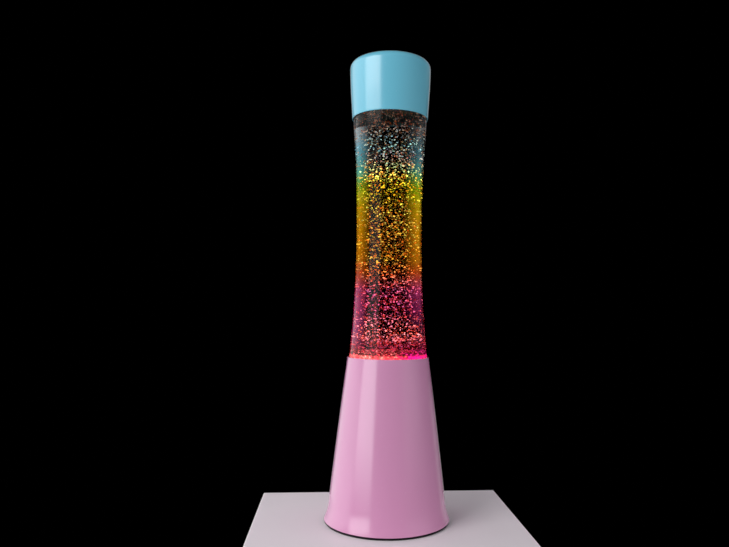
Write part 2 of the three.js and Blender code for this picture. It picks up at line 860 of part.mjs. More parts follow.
function capGeometry() {
  const side = capSide();
  const [brow] = side.slice(-1);
  const ledge = [capRadius - capRound, capTop - capDome];
  const crest = fillet(brow, ledge, [capRadius, capTop - capDome]).slice(1);
  const outer = [...side, ...crest, [0, capTop]];
  const innerRound = capRound - capWall;
  const innerSide = insetOf(side, capWall);
  const innerCrest = fillet(
    [capRadius - capWall, brow[1]],
    [ledge[0], ledge[1] - capWall],
    [ledge[0] + innerRound, ledge[1] - capWall],
  );
  const inner = [...innerSide.slice(1, -1), ...innerCrest, [0, capTop - capWall]].reverse();
  const edge = [
    [capFootRadius - capWall, capFoot + capEdgeRound],
    [capFootRadius - capWall / 2, capFoot],
    [capFootRadius, capFoot + capEdgeRound],
  ];
  return turned([...outer.slice(1), ...inner, ...edge, outer[1]], roundSides);
}
place("cap_shell", capGeometry(), bluePaint);
place("cap_foam", rod(foamRadius, foamFoot, foamFoot + foamWall, midSides), whiteFoam);

// Bracket over the plate, its rivets, and the nipple and nut that hold the lampholder on it.
function bracketGeometry() {
  const under = bracketUp - bracketWall;
  const footTop = bracketFoot + bracketWall;
  const lean = bracketHalfFoot - bracketHalfTop;
  const half = [
    [bracketHalfFoot, footTop],
    [bracketHalfSpan, footTop],
    [bracketHalfSpan, bracketFoot],
    [bracketHalfFoot - bracketWall, bracketFoot],
    [bracketHalfFoot - bracketWall - lean, under],
  ];
  const outline = [
    [-bracketHalfTop, bracketUp],
    [bracketHalfTop, bracketUp],
    ...half,
    ...half.map(([x, z]) => [-x, z]).reverse(),
  ];
  const holes = [rod(nippleRadius + fitGap, under - overrun, bracketUp + overrun, midSides)];
  for (const side of [-1, 1]) {
    const hole = rod(rivetRadius + fitGap, bracketFoot - overrun, footTop + overrun, smallSides);
    holes.push(hole.translate(side * rivetSpread, 0, 0));
  }
  return cut(slab(outline, bracketWidth), holes);
}
place("holder_bracket", bracketGeometry(), steel);

function rivetGeometry() {
  const headFoot = bracketFoot + bracketWall + seatGap;
  const tailTop = dishUnder - seatGap;
  return turned(
    [
      [0, tailTop - rivetHeadHeight],
      [rivetHeadRadius, tailTop - rivetHeadHeight],
      [rivetHeadRadius, tailTop],
      [rivetRadius, tailTop],
      [rivetRadius, headFoot],
      [rivetHeadRadius, headFoot],
      [rivetHeadRadius - rivetHeadHeight / 2, headFoot + rivetHeadHeight],
      [0, headFoot + rivetHeadHeight],
    ],
    smallSides,
  );
}
const rivetShape = rivetGeometry();
[-1, 1].forEach((side, i) => {
  place(`bracket_rivet_${i + 1}`, rivetShape, steel, [side * rivetSpread, 0, 0]);
});

const nippleTop = nippleFoot + nippleLength;
const nippleShape = ring(nippleRadius, nippleRadius - nippleWall, nippleFoot, nippleTop, midSides);
place("threaded_nipple", nippleShape, steel);
const nutShape = cut(rod(nutAcrossFlats / Math.sqrt(3), nutTop - nutHeight, nutTop, 6), [
  rod(nippleRadius + fitGap, nutTop - nutHeight - overrun, nutTop + overrun, midSides),
]);
place("nipple_nut", nutShape, steel);

// Lampholder: cup, core, skirt, threaded sleeve and centre contact.
function cupGeometry() {
  const shoulder = cupFoot + cupShoulder;
  const counterbore = holderRadius - holderWall;
  return turned(
    [
      [nippleRadius + fitGap, cupFoot],
      [holderRadius, cupFoot],
      [holderRadius, cupTop],
      [counterbore, cupTop],
      [counterbore, shoulder],
      [cupBore, shoulder],
      [cupBore, cupFoot + cupFloor],
      [nippleRadius + fitGap, cupFoot + cupFloor],
      [nippleRadius + fitGap, cupFoot],
    ],
    midSides,
  );
}
place("holder_cup", cupGeometry(), whiteHolder);

const coreRadius = holderRadius - holderWall - fitGap;
const holderScrewZ = coreFoot + holderScrewHeight;

function sideways(geometry, x) {
  return geometry.rotateX(Math.PI / 2).translate(x, -coreRadius, holderScrewZ);
}

function coreGeometry() {
  const tools = [];
  for (const side of [-1, 1]) {
    const x = side * leadHoleSpread;
    const leadHole = rod(leadRadius + fitGap, coreFoot - overrun, coreFoot + leadHoleDepth, smallSides);
    tools.push(leadHole.translate(x, 0, 0));
    const sunk = coreRadius - coreSideDepth() + screwHeadHeight + seatGap;
    const bore = rod(screwRadius + fitGap, -sunk - holderScrewLength, overrun, smallSides);
    const recess = rod(screwHeadRadius + fitGap, -sunk, overrun, smallSides);
    tools.push(sideways(join([bore, recess]), x));
  }
  return cut(rod(coreRadius, coreFoot, coreTop, midSides), tools);
}

// How far the core's side lies from the axis plane where its screws go in.
function coreSideDepth() {
  return Math.sqrt(coreRadius ** 2 - (leadHoleSpread + screwHeadRadius + fitGap) ** 2);
}
place("holder_core", coreGeometry(), ceramicWhite);

const holderScrew = screwGeometry(screwRadius, screwHeadRadius, screwHeadHeight, holderScrewLength);
[-1, 1].forEach((side, i) => {
  const mesh = place(`holder_screw_${i + 1}`, holderScrew, brass);
  mesh.rotation.x = -Math.PI / 2;
  mesh.position.set(side * leadHoleSpread, screwHeadHeight - coreSideDepth(), holderScrewZ);
});

function skirtGeometry() {
  const shoulder = skirtFoot + skirtShoulder;
  const wide = holderRadius - holderWall;
  const lipFoot = skirtTop - skirtChamfer;
  return turned(
    [
      [wide, skirtFoot],
      [holderRadius, skirtFoot],
      [holderRadius, lipFoot],
      [holderRadius - skirtChamfer, skirtTop],
      [skirtTopBore, skirtTop],
      [skirtBore, lipFoot],
      [skirtBore, shoulder],
      [wide, shoulder],
      [wide, skirtFoot],
    ],
    midSides,
  );
}
place("holder_skirt", skirtGeometry(), whiteHolder);

const sleeveFoot = threadFoot - sleeveInset;
const sleeveTop = threadTop - sleeveInset;

function sleeveGeometry() {
  const bore = threadRadius + threadClearance;
  const plain = bore + threadDepth / 2;
  const foot = coreTop + seatGap;
  return rowSolid(
    [
      ...threadRows(bore, sleeveFoot, sleeveTop).reverse(),
      roundRow(plain, sleeveFoot - sleeveInset, midSides),
      roundRow(plain, foot, midSides),
      roundRow(plain + sleeveWall, foot, midSides),
      roundRow(plain + sleeveWall, sleeveTop, midSides),
    ],
    true,
  );
}
place("thread_sleeve", sleeveGeometry(), brass);

function contactGeometry() {
  const foot = coreTop + seatGap;
  const outline = [
    [-contactHalfFoot, foot],
    [contactHalfFoot, foot],
    [contactHalfFoot, foot + contactWall],
    [contactHalfTop + contactRise, foot + contactWall],
    [contactHalfTop, foot + contactWall + contactRise],
    [-contactHalfTop, foot + contactWall + contactRise],
    [-contactHalfTop - contactWall, foot + contactRise],
    [contactHalfTop - contactWall, foot + contactRise],
    [contactHalfTop - contactWall + contactRise - contactWall, foot + 2 * contactWall],
    [-contactHalfFoot, foot + contactWall],
  ];
  return slab(outline, contactWidth);
}
place("centre_contact", contactGeometry(), brass);

// Bulb: tip, insulator, threaded base, silvered envelope, stem and filament.
const tipShape = turned(
  [
    [0, tipFoot],
    [tipRadius / 2, tipFoot],
    [tipRadius, tipFoot + tipHeight / 2],
    [tipRadius, tipTop],
    [0, tipTop],
  ],
  midSides,
);
place("bulb_tip", tipShape, nickel);
const insulatorShape = turned(
  [
    [0, insulatorFoot],
    [insulatorFootRadius, insulatorFoot],
    [insulatorRadius, baseFoot - seatGap],
    [0, baseFoot - seatGap],
  ],
  midSides,
);
place("bulb_insulator", insulatorShape, vitrite);

const baseBore = threadRadius - threadDepth / 2 - baseWall;

function bulbBaseGeometry() {
  return rowSolid(
    [
      roundRow(baseEndRadius - threadDepth / 2, baseFoot, midSides),
      ...threadRows(threadRadius, threadFoot, threadTop),
      roundRow(baseSkirtRadius, threadTop + threadPitch / 2, midSides),
      roundRow(baseSkirtRadius, baseTop, midSides),
      roundRow(baseBore, baseTop, midSides),
      roundRow(baseBore, baseFoot + baseWall, midSides),
    ],
    false,
  );
}
place("bulb_base", bulbBaseGeometry(), nickel);

const bulbNeck = baseBore - fitGap;

function envelopeSide() {
  const wide = [bulbRadius, bulbFoot + bulbHeight * bulbWideShare];
  const lip = baseSkirtRadius;
  const cone = wide[1] - bulbFoot;
  const front = bulbTop - wide[1];
  return [
    [bulbNeck, baseTop - neckInsert],
    [bulbNeck, bulbFoot],
    [lip, bulbFoot],
    ...swept(
      [lip, bulbFoot],
      [lip, bulbFoot + cone * bulbNeckShare],
      [bulbRadius, wide[1] - cone * bulbConeShare],
      wide,
      bulbSteps,
    ),
    ...swept(
      wide,
      [bulbRadius, wide[1] + front * bulbFrontShare],
      [bulbRadius * bulbFaceShare, bulbTop],
      [0, bulbTop],
      bulbSteps,
    ),
  ];
}

function envelopeGeometry() {
  const outer = envelopeSide();
  const neckPoints = 3;
  const belly = outer.slice(neckPoints);
  const inner = insetOf(belly, bulbWall).slice(0, -1);
  return turned(
    [
      ...outer,
      [0, bulbTop - bulbWall],
      ...inner.reverse(),
      [bulbNeck - bulbWall, bulbFoot],
      [bulbNeck - bulbWall, baseTop - neckInsert],
      outer[0],
    ],
    midSides,
  );
}
place("bulb_glass", envelopeGeometry(), silveredGlass);

const stemFoot = baseTop - neckInsert;
const stemTop = bulbFoot + bulbHeight * stemShare;
const postTop = bulbFoot + bulbHeight * postShare;

function stemGeometry() {
  const flareOut = bulbNeck - bulbWall - fitGap;
  const postRise = postTop - stemTop;
  const stem = turned(
    [
      [0, stemFoot],
      [flareOut, stemFoot],
      [stemRadius, stemFoot + stemFlareHeight],
      [stemRadius / 2, stemTop],
      [0, stemTop],
    ],
    smallSides,
  );
  const post = (side) =>
    wire(
      [
        [0, 0, stemTop - postRise],
        [side * postRadius, 0, stemTop - postRadius],
        [side * postSpread, 0, postTop],
      ],
      postRadius,
      postSteps,
    );
  return join([stem, post(-1), post(1)]);
}
place("bulb_stem", stemGeometry(), clearGlass);
const filamentZ = postTop + postRadius + seatGap + filamentRadius;
const filamentShape = rod(filamentRadius, -postSpread, postSpread, wireSides).rotateY(Math.PI / 2);
place("filament", filamentShape, tungsten, [0, 0, filamentZ]);

// Terminal block on two pegs, its screws, and the leads to the lampholder and the earth tag.
const boreZ = blockFoot + blockBoreHeight;
const poleX = (i) => (i - (blockPoles - 1) / 2) * blockPitch;

function blockGeometry() {
  const half = blockWidth / 2;
  const top = blockFoot + blockHeight;
  const outline = [
    [-half, blockFoot],
    [half, blockFoot],
    [half, top - blockChamfer],
    [half - blockChamfer, top],
    [blockChamfer - half, top],
    [-half, top - blockChamfer],
  ];
  const body = slab(outline, blockDepth).translate(0, pegY, 0);
  const pegFoot = plateTop - pegLength;
  const pegs = [-1, 1].map((side) =>
    rod(pegRadius, pegFoot, blockFoot + overrun, smallSides).translate(side * pegSpread, pegY, 0),
  );
  const holes = [];
  const well = blockScrewSink + blockScrewLength + fitGap;
  for (let i = 0; i < blockPoles; i++) {
    const bore = rod(blockBore, blockFront - overrun, blockFront + blockDepth + overrun, smallSides);
    holes.push(bore.rotateX(-Math.PI / 2).translate(poleX(i), 0, boreZ));
    const screwHole = rod(blockScrewRadius + fitGap, top - well, top + overrun, smallSides);
    holes.push(screwHole.translate(poleX(i), pegY, 0));
  }
  return cut(join([body, ...pegs]), holes);
}
place("terminal_block", blockGeometry(), whiteHolder);

function blockScrewGeometry() {
  const slotFoot = blockScrewLength - slotDepth;
  const slot = block(2 * blockScrewRadius + overrun, slotWidth, slotFoot, blockScrewLength + overrun);
  return cut(rod(blockScrewRadius, 0, blockScrewLength, smallSides), [slot]);
}
const blockScrewShape = blockScrewGeometry();
for (let i = 0; i < blockPoles; i++) {
  const z = blockFoot + blockHeight - blockScrewSink - blockScrewLength;
  place(`block_screw_${i + 1}`, blockScrewShape, brass, [poleX(i), pegY, z]);
}

function holderLead(side) {
  const start = blockFront + leadInsert;
  const leadTop = coreFoot + leadHoleDepth - fitGap;
  return wire(
    [
      [side * blockPitch, start, boreZ],
      [side * blockPitch, blockFront - leadBend, boreZ],
      [side * leadSpread, leadBend / 2, boreZ + leadRadius],
      [side * leadSpread, 0, nippleFoot],
      [side * leadSpread, 0, nippleTop - leadRadius],
      [side * leadHoleSpread, 0, coreFoot],
      [side * leadHoleSpread, 0, leadTop],
    ],
    leadRadius,
    leadSteps,
  );
}
place("live_lead", holderLead(1), brownLead);
place("neutral_lead", holderLead(-1), blueLead);

const tagFoot = plateTop + seatGap;
const tagShape = join([
  rod(tagRadius, tagFoot, tagFoot + tagWall, midSides),
  block(leadRadius * 2, tagBarrel, tagFoot, tagFoot + tagWall).translate(0, tagRadius + tagBarrel / 3, 0),
]);
const tagHole = rod(screwRadius + fitGap, tagFoot - overrun, tagFoot + tagWall + overrun, smallSides);
place("earth_tag", cut(tagShape, [tagHole]), brass, [0, tagReach, 0]);
const earthScrew = screwGeometry(screwRadius, screwHeadRadius, screwHeadHeight, earthScrewLength);
const earthMesh = place("earth_screw", earthScrew, steel, [0, tagReach, tagFoot + tagWall + seatGap]);
earthMesh.rotation.x = Math.PI;

function earthLeadGeometry() {
  const tailY = tagReach + tagRadius + tagBarrel / 2;
  const tailZ = tagFoot + tagWall + seatGap + leadRadius;
  return wire(
    [
      [0, blockFront + leadInsert, boreZ],
      [0, blockFront, boreZ],
      [0, (blockFront + tailY) / 2, (boreZ + tailZ) / 2],
      [0, tailY, tailZ],
      [0, tagReach + tagRadius, tailZ],
    ],
    leadRadius,
    shortLeadSteps,
  );
}
place("earth_lead", earthLeadGeometry(), greenLead);

// Rubber grommet in the cord inlet, square to the cone's wall.
function grommetGeometry() {
  const bulge = grommetFlange ** 2 / (2 * coneFootRadius);
  const half = shellWall / 2 + seatGap + bulge;
  const waist = inletRadius - fitGap;
  const profile = [
    [grommetBore, -half - grommetLip],
    [grommetFlange - grommetRound, -half - grommetLip],
    [grommetFlange, grommetRound - half - grommetLip],
    [grommetFlange, -half],
    [waist, -half],
    [waist, half],
    [grommetFlange, half],
    [grommetFlange, half + grommetLip - grommetRound],
    [grommetFlange - grommetRound, half + grommetLip],
    [grommetBore, half + grommetLip],
    [grommetBore, -half - grommetLip],
  ];
  return turned(profile, midSides);
}
const grommet = place("cord_grommet", grommetGeometry(), blackRubber);
grommet.position.set(0, radiusAt(shellOuter, inletZ) - shellWall / 2, inletZ);
grommet.rotation.x = coneTilt - Math.PI / 2;

export default lamp;
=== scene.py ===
# Looks of a glitter motion lamp: gloss painted base and cap, a tinted glass bottle of clear liquid
# full of glitter, and the bulb and holder inside the base.

import math

import bmesh
import bpy
import numpy as np
from mathutils import Matrix


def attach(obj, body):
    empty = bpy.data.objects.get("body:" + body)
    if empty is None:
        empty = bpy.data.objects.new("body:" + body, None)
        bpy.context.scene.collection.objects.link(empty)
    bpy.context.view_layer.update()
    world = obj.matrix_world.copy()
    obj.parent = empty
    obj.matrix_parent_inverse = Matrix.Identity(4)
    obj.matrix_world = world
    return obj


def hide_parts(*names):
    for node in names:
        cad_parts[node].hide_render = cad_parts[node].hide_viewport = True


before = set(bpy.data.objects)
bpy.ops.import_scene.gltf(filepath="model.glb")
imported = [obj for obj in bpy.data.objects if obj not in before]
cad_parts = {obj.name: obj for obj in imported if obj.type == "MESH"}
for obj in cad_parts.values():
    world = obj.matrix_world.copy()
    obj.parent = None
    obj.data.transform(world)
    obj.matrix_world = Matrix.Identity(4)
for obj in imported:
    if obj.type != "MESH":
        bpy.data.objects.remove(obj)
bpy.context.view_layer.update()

# Sizes are in millimetres until a mesh is made, the same as the solids'.
MM = 0.001
ROUND = 192
MIDDLE = 96
SMALL = 40
THREAD_SIDES = 72
GAP = 0.3
SHARP_DEGREES = 32

FOOT_PROUD = 0.9
PLATE_WALL = 0.8
HEM_FOOT = 0.15
HEM_WALL = 1.2
DISH_DEPTH = 2.9
DISH_SLOPE = 2.4
PLATE_FLANGE = 4.6
SHELL_FOOT = FOOT_PROUD + PLATE_WALL + GAP
SHELL_WALL = 1.0
EDGE_ROUND = 0.6
RIM_TOP = SHELL_FOOT + 138.8
RIM_RADIUS = 35.5
RIM_ROUND = 0.5
RIM_PAINT = 8.0
FLARE_RADIUS = 54.8
FLARE_TOP = SHELL_FOOT + 15.5
FLARE_HANDLE = 9.0
CONE_FOOT = FLARE_RADIUS - 4.3
CONE_BOW = 0.15
CONE_SLOPE = (CONE_FOOT - RIM_RADIUS) / (RIM_TOP - FLARE_TOP)
INLET_HEIGHT = SHELL_FOOT + 24.0
INLET_RADIUS = 4.5

PLATE_FOOT = FOOT_PROUD
DISH_UNDER = PLATE_FOOT + DISH_DEPTH
PLATE_TOP = DISH_UNDER + PLATE_WALL
PLATE_RADIUS = FLARE_RADIUS - 0.7
DISH_RADIUS = PLATE_RADIUS - PLATE_FLANGE - DISH_SLOPE
BOLT_RING = DISH_RADIUS - 5.8
FOOT_PAD = 5.0
FOOT_RING = DISH_RADIUS - 0.8 - FOOT_PAD
FOOT_ROUND = 0.6
VENT_RING = DISH_RADIUS * 0.68
VENT_RADIUS = 2.6
SCREW_RADIUS = 1.2
SCREW_PITCH = 0.5
SCREW_HEAD = 2.7
SCREW_HEAD_HEIGHT = 1.6
SCREW_LENGTH = 6.0
EARTH_SCREW_LENGTH = 4.0
SLOT = 0.35
RIVET_SPREAD = 20.75
RIVET_HOLE = 1.8
PEG_SPREAD = 4.0
PEG_HOLE = 1.7
PAST = 2.0

BOTTLE_FOOT = RIM_TOP - 11.4
BOTTLE_TOP = BOTTLE_FOOT + 263.8
GLASS_WALL = 2.5
HEEL_RADIUS = 34.2
HEEL_HEIGHT = 9.6
HEEL_FLAT = 29.8
WAIST_RADIUS = 28.6
WAIST_HEIGHT = 115.6
SHOULDER_RADIUS = 31.95
SHOULDER_HEIGHT = 218.6
NECK_RADIUS = 14.6
NECK_HEIGHT = 248.6
MOUTH_RADIUS = 8.0
MOUTH_ROUND = 0.9
BEAD_RADIUS = 13.3
COLLAR_RADIUS = 12.9
PUNT_HEIGHT = 4.0
PUNT_RADIUS = HEEL_FLAT - 7.0
FLOOR_HEIGHT = BOTTLE_FOOT + 7.0
LIQUID_TOP = BOTTLE_FOOT + 235.0
BED_TOP = BOTTLE_FOOT + 15.9
WETTING = 0.06
BED_GAP = 0.35

PAD_WALL = 1.5
PAD_FOOT = BOTTLE_FOOT - GAP - PAD_WALL
LEDGE_TOP = PAD_FOOT - GAP
SEAT_HOLE = 25.0
SEAT_WALL = 1.2
SEAT_COLLAR = 9.0
AIR_HOLE = 1.3

LINER_FOOT = BOTTLE_TOP + GAP
LINER_WALL = 0.6
CROWN_WALL = 0.4
CROWN_FLUTES = 21
CROWN_TOP = LINER_FOOT + LINER_WALL + GAP + CROWN_WALL
FOAM_FOOT = CROWN_TOP + GAP
FOAM_WALL = 3.0
CAP_DOME = 0.6
CAP_WALL = 1.0
CAP_TOP = FOAM_FOOT + FOAM_WALL + GAP + CAP_DOME + CAP_WALL
CAP_HEIGHT = 50.9
CAP_FOOT = CAP_TOP - CAP_HEIGHT
CAP_FOOT_RADIUS = 33.3
CAP_RADIUS = 35.4
CAP_ROUND = 6.0
CAP_HANDLE = 14.0

BRACKET_TOP = PLATE_TOP + 19.1
CUP_FOOT = BRACKET_TOP + GAP
CUP_TOP = CUP_FOOT + 16.7
CUP_STEP = CUP_FOOT + 12.0
CORE_FOOT = CUP_STEP + GAP
CORE_TOP = CORE_FOOT + 13.7
CORE_RADIUS = 11.7
SKIRT_FOOT = CUP_TOP + GAP
SKIRT_TOP = SKIRT_FOOT + 30.4
HOLDER_RADIUS = 14.0
HOLDER_WALL = 2.0
NIPPLE_RADIUS = 5.0
BRACKET_WALL = 1.5
NUT_TOP = BRACKET_TOP - BRACKET_WALL - GAP
NUT_HEIGHT = 3.0
NIPPLE_END = 3.4
NIPPLE_FOOT = NUT_TOP - NUT_HEIGHT - NIPPLE_END
NIPPLE_TOP = NIPPLE_FOOT + 15.4
LEAD_RADIUS = 1.0
LEAD_SPREAD = 1.8
LEAD_HOLE_SPREAD = 5.0

CONTACT_WALL = 0.4
CONTACT_RISE = 1.4
TIP_FOOT = CORE_TOP + GAP + CONTACT_WALL + CONTACT_RISE + GAP
TIP_TOP = TIP_FOOT + 1.5
INSULATOR_FOOT = TIP_TOP + GAP
INSULATOR_HEIGHT = 3.0
BULB_BASE_FOOT = INSULATOR_FOOT + INSULATOR_HEIGHT + GAP
PITCH = 2.822
THREAD_FOOT = BULB_BASE_FOOT + 0.8
THREAD_TOP = THREAD_FOOT + 3.5 * PITCH
THREAD_RADIUS = 6.55
THREAD_DEPTH = 0.8
BULB_BASE_TOP = THREAD_TOP + 8.0
BULB_SKIRT = 7.1
BULB_BASE_WALL = 0.8
BULB_BORE = THREAD_RADIUS - THREAD_DEPTH / 2 - BULB_BASE_WALL
BULB_NECK = BULB_BORE - GAP
BULB_FOOT = BULB_BASE_TOP + GAP
STEM_FOOT = BULB_BASE_TOP - 5
BULB_TOP = LEDGE_TOP - 8.9
BULB_HEIGHT = BULB_TOP - BULB_FOOT
BULB_RADIUS = 19.5
BULB_WALL = 0.8
WIDEST_SHARE = 0.74
SILVER_SHARE = 0.80

BLOCK_FOOT = PLATE_TOP + GAP
BLOCK_FRONT = 18.3
BLOCK_PITCH = 6.0
GRUB_TOP = BLOCK_FOOT + 10.0
BORE_HEIGHT = BLOCK_FOOT + 5.2
PEG_Y = BLOCK_FRONT + 6.0
TAG_REACH = 9.0
TAG_WALL = 0.8
TAG_TOP = PLATE_TOP + GAP + TAG_WALL + GAP


# Curves and surfaces

def curve(start, first, second, end, steps):
    """Cubic curve from start to end: the two ends and the two handles, each weighted by its
    Bernstein share of the way t. The first point is left out."""
    t = np.linspace(0, 1, steps + 1)[1:, None]
    shares = (1 - t) ** 3, 3 * t * (1 - t) ** 2, 3 * t ** 2 * (1 - t), t ** 3
    points = np.array([start, first, second, end], float)
    return sum(share * point for share, point in zip(shares, points))


def rounded(start, end, corner, steps=10):
    """Quarter ellipse that bulges towards a corner: corner + (start - corner) (1 - sin t)
    + (end - corner) (1 - cos t), for t from nought to a right angle."""
    t = np.linspace(0, math.pi / 2, steps + 1)[:, None]
    start, end, corner = (np.array(p, float) for p in (start, end, corner))
    return corner + (start - corner) * (1 - np.sin(t)) + (end - corner) * (1 - np.cos(t))


def inset(profile, distance):
    """Profile moved inwards by a distance, square to the line through each point's neighbours."""
    along = np.vstack([profile[1:], profile[-1:]]) - np.vstack([profile[:1], profile[:-1]])
    along = along / np.linalg.norm(along, axis=1, keepdims=True)
    return profile + distance * np.stack([-along[:, 1], along[:, 0]], axis=1)


def angles(sides):
    return np.arange(sides) * 2 * math.pi / sides


def rows(values, sides):
    """A row for each value, the same at every side."""
    return np.repeat(np.reshape(values, (-1, 1)), sides, axis=1)


def grid_faces(count, columns, wrap):
    """Four-sided faces between each pair of neighbouring rows and columns; columns run round."""
    row = np.arange(count if wrap else count - 1)[:, None] * columns
    above = (row + columns) % (count * columns)
    column = np.arange(columns)[None, :]
    right = (column + 1) % columns
    return np.stack([row + column, row + right, above + right, above + column], axis=-1).reshape(-1, 4)


def rings(radius, height):
    """Surface round Z from a grid of radii, one row for each height: point = (r cos a, r sin a, z).
    A row of radius nought is a pole. With no pole at either end the last row joins the first."""
    radius, height = np.asarray(radius, float), np.asarray(height, float)
    sides = radius.shape[1]
    poles = [i for i in (0, -1) if not radius[i].any()]
    body = slice(1 if 0 in poles else 0, len(radius) - (1 if -1 in poles else 0))
    r, z = radius[body], height[body]
    z = np.broadcast_to(z.reshape(len(z), -1), r.shape)
    a = angles(sides)
    points = np.stack([r * np.cos(a), r * np.sin(a), z], axis=-1).reshape(-1, 3)
    faces = grid_faces(len(r), sides, not poles).tolist()
    k, last = np.arange(sides), (len(r) - 1) * sides
    for pole in poles:
        tip = np.full(sides, len(points))
        points = np.vstack([points, [0, 0, np.ravel(height[pole])[0]]])
        fan = (tip, (k + 1) % sides, k) if pole == 0 else (last + k, last + (k + 1) % sides, tip)
        faces += np.stack(fan, axis=1).tolist()
    return points, faces


def turned(profile, sides=MIDDLE):
    """Profile of [radius, height] pairs and stretches of them, up the outside and down the inside,
    turned round Z."""
    profile = np.vstack(profile)
    return rings(rows(profile[:, 0], sides), profile[:, 1])


def between(t, t0, t1, a, b):
    """Straight share between two rows of points at the times t0 and t1."""
    return a + (b - a) * ((t - t0) / (t1 - t0))[:, None]


def tube(route, radius, sides=16, steps=80):
    """Round wire along a smooth route, a centripetal spline through its points: a ring of points at
    every step, centre + radius (across cos a + up sin a), both square to the route."""
    p = np.array(route, float)
    p = np.vstack([2 * p[0] - p[1], p, 2 * p[-1] - p[-2]])
    knots = np.concatenate([[0], np.cumsum(np.linalg.norm(np.diff(p, axis=0), axis=1) ** 0.5)])
    t = np.linspace(knots[1], knots[-2], steps + 1)
    i = np.clip(np.searchsorted(knots, t, side="right") - 1, 1, len(p) - 3)
    near, times = ([values[i + k] for k in (-1, 0, 1, 2)] for values in (p, knots))
    first = [between(t, times[j], times[j + 1], near[j], near[j + 1]) for j in range(3)]
    second = [between(t, times[j], times[j + 2], first[j], first[j + 1]) for j in range(2)]
    line = between(t, times[1], times[2], *second)
    along = np.gradient(line, axis=0)
    along /= np.linalg.norm(along, axis=1, keepdims=True)
    no_wire_runs_this_way = [0.31, 0.9, 0.3]
    across = np.cross(along, no_wire_runs_this_way)
    across /= np.linalg.norm(across, axis=1, keepdims=True)
    up = np.cross(along, across)
    a = angles(sides)[None, :, None]
    points = line[:, None] + radius * (np.cos(a) * across[:, None] + np.sin(a) * up[:, None])
    faces = grid_faces(steps + 1, sides, False).tolist()
    faces += [list(range(sides))[::-1], list(range(steps * sides, (steps + 1) * sides))]
    return points.reshape(-1, 3), faces


def thread(radius, depth, pitch, z, start, sides):
    """Radii of a rounded right-hand thread at the heights z: radius + half depth x cos(turn - angle)."""
    turn = (z - start) / pitch * 2 * math.pi
    return radius + depth / 2 * np.cos(turn[:, None] - angles(sides)[None, :])


def bulb_thread(radius, low, high):
    """Radii and heights of the bulb's thread from low to high, in twenty steps for each turn."""
    z = np.linspace(low, high, int((high - low) / PITCH * 20) + 1)
    return thread(radius, THREAD_DEPTH, PITCH, z, THREAD_FOOT, THREAD_SIDES), z


def moved(shape, matrix):
    """Shape carried by a 4 by 4 matrix in millimetres."""
    points, faces = shape
    m = np.array(matrix)
    return points @ m[:3, :3].T + m[:3, 3], faces


def flipped(shape):
    """Shape with its faces turned over, for a profile that runs down the outside first."""
    points, faces = shape
    return points, [face[::-1] for face in faces]


def at(x, y, z=0.0):
    return Matrix.Translation((x, y, z))


def tilted(angle, axis="X"):
    return Matrix.Rotation(angle, 4, axis)


def joined(*shapes):
    """Several shapes as one list of points and faces."""
    starts = np.cumsum([0] + [len(points) for points, _ in shapes[:-1]])
    faces = [[v + int(start) for v in face] for start, (_, some) in zip(starts, shapes) for face in some]
    return np.vstack([points for points, _ in shapes]), faces


def box(x0, x1, y0, y1, z0, z1):
    """Block between two corners."""
    points = np.array([[x, y, z] for x in (x0, x1) for y in (y0, y1) for z in (z0, z1)], float)
    return points, [[0, 1, 3, 2], [4, 6, 7, 5], [0, 4, 5, 1], [2, 3, 7, 6], [0, 2, 6, 4], [1, 5, 7, 3]]


def on_ring(radius, count, start):
    """Places spaced evenly on a circle."""
    return [at(radius * math.cos(a), radius * math.sin(a)) for a in start + angles(count)]


def pair(spread, y=0.0, z=0.0):
    """Two places, left and right of the middle."""
    return [at(-spread, y, z), at(spread, y, z)]


def rod(radius, low, high, sides=SMALL):
    return turned([[0, low], [radius, low], [radius, high], [0, high]], sides)


def new_mesh(name, shape, scale=MM):
    """Mesh of a shape, in metres unless another scale is given."""
    points, faces = shape
    mesh = bpy.data.meshes.new(name)
    mesh.from_pydata(points * scale, [], faces)
    return mesh


def new_object(name, data):
    obj = bpy.data.objects.new(name, data)
    bpy.context.collection.objects.link(obj)
    return obj


def cut(shape, *tools):
    """The shape less the space of the tools, worked out by an exact boolean on two helpers."""
    helpers = [new_object("helper", new_mesh("helper", some, 1)) for some in (shape, joined(*tools))]
    boolean = helpers[0].modifiers.new("cut", "BOOLEAN")
    boolean.object, boolean.operation, boolean.solver = helpers[1], "DIFFERENCE", "EXACT"
    whole = helpers[0].evaluated_get(bpy.context.evaluated_depsgraph_get())
    done = whole.to_mesh()
    points = np.empty(len(done.vertices) * 3)
    done.vertices.foreach_get("co", points)
    faces = [list(polygon.vertices) for polygon in done.polygons]
    whole.to_mesh_clear()
    for helper in helpers:
        bpy.data.objects.remove(helper)
    return points.reshape(-1, 3), faces


def drilled(shape, low, high, *holes):
    """The shape with holes through it from low to high, each kind given by a radius and its places."""
    return cut(shape, *(moved(rod(radius, low - PAST, high + PAST), place)
                        for radius, places in holes for place in places))


# Pieces

def finish_piece(name, mesh, finish, nodes, body, angle):
    """Object of a mesh with its finish and shading, on its body, in place of the named solids."""
    mesh.materials.clear()
    mesh.materials.append(finish)
    mesh.shade_smooth()
    mesh.set_sharp_from_angle(angle=math.radians(angle))
    obj = new_object(name, mesh)
    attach(obj, body)
    nodes = [nodes] if isinstance(nodes, str) else nodes
    if nodes:
        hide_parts(*nodes)
    return obj


def piece(name, shape, finish, nodes, body="base", angle=SHARP_DEGREES):
    """New piece from points in millimetres."""
    return finish_piece(name, new_mesh(name, shape), finish, nodes, body, angle)


def copies(name, shape, places, finish, node):
    """A numbered piece of one shape at each place, for the solid of the same number."""
    for i, place in enumerate(places, 1):
        piece(f"{name}_{i}", moved(shape, place), finish, f"{node}_{i}")


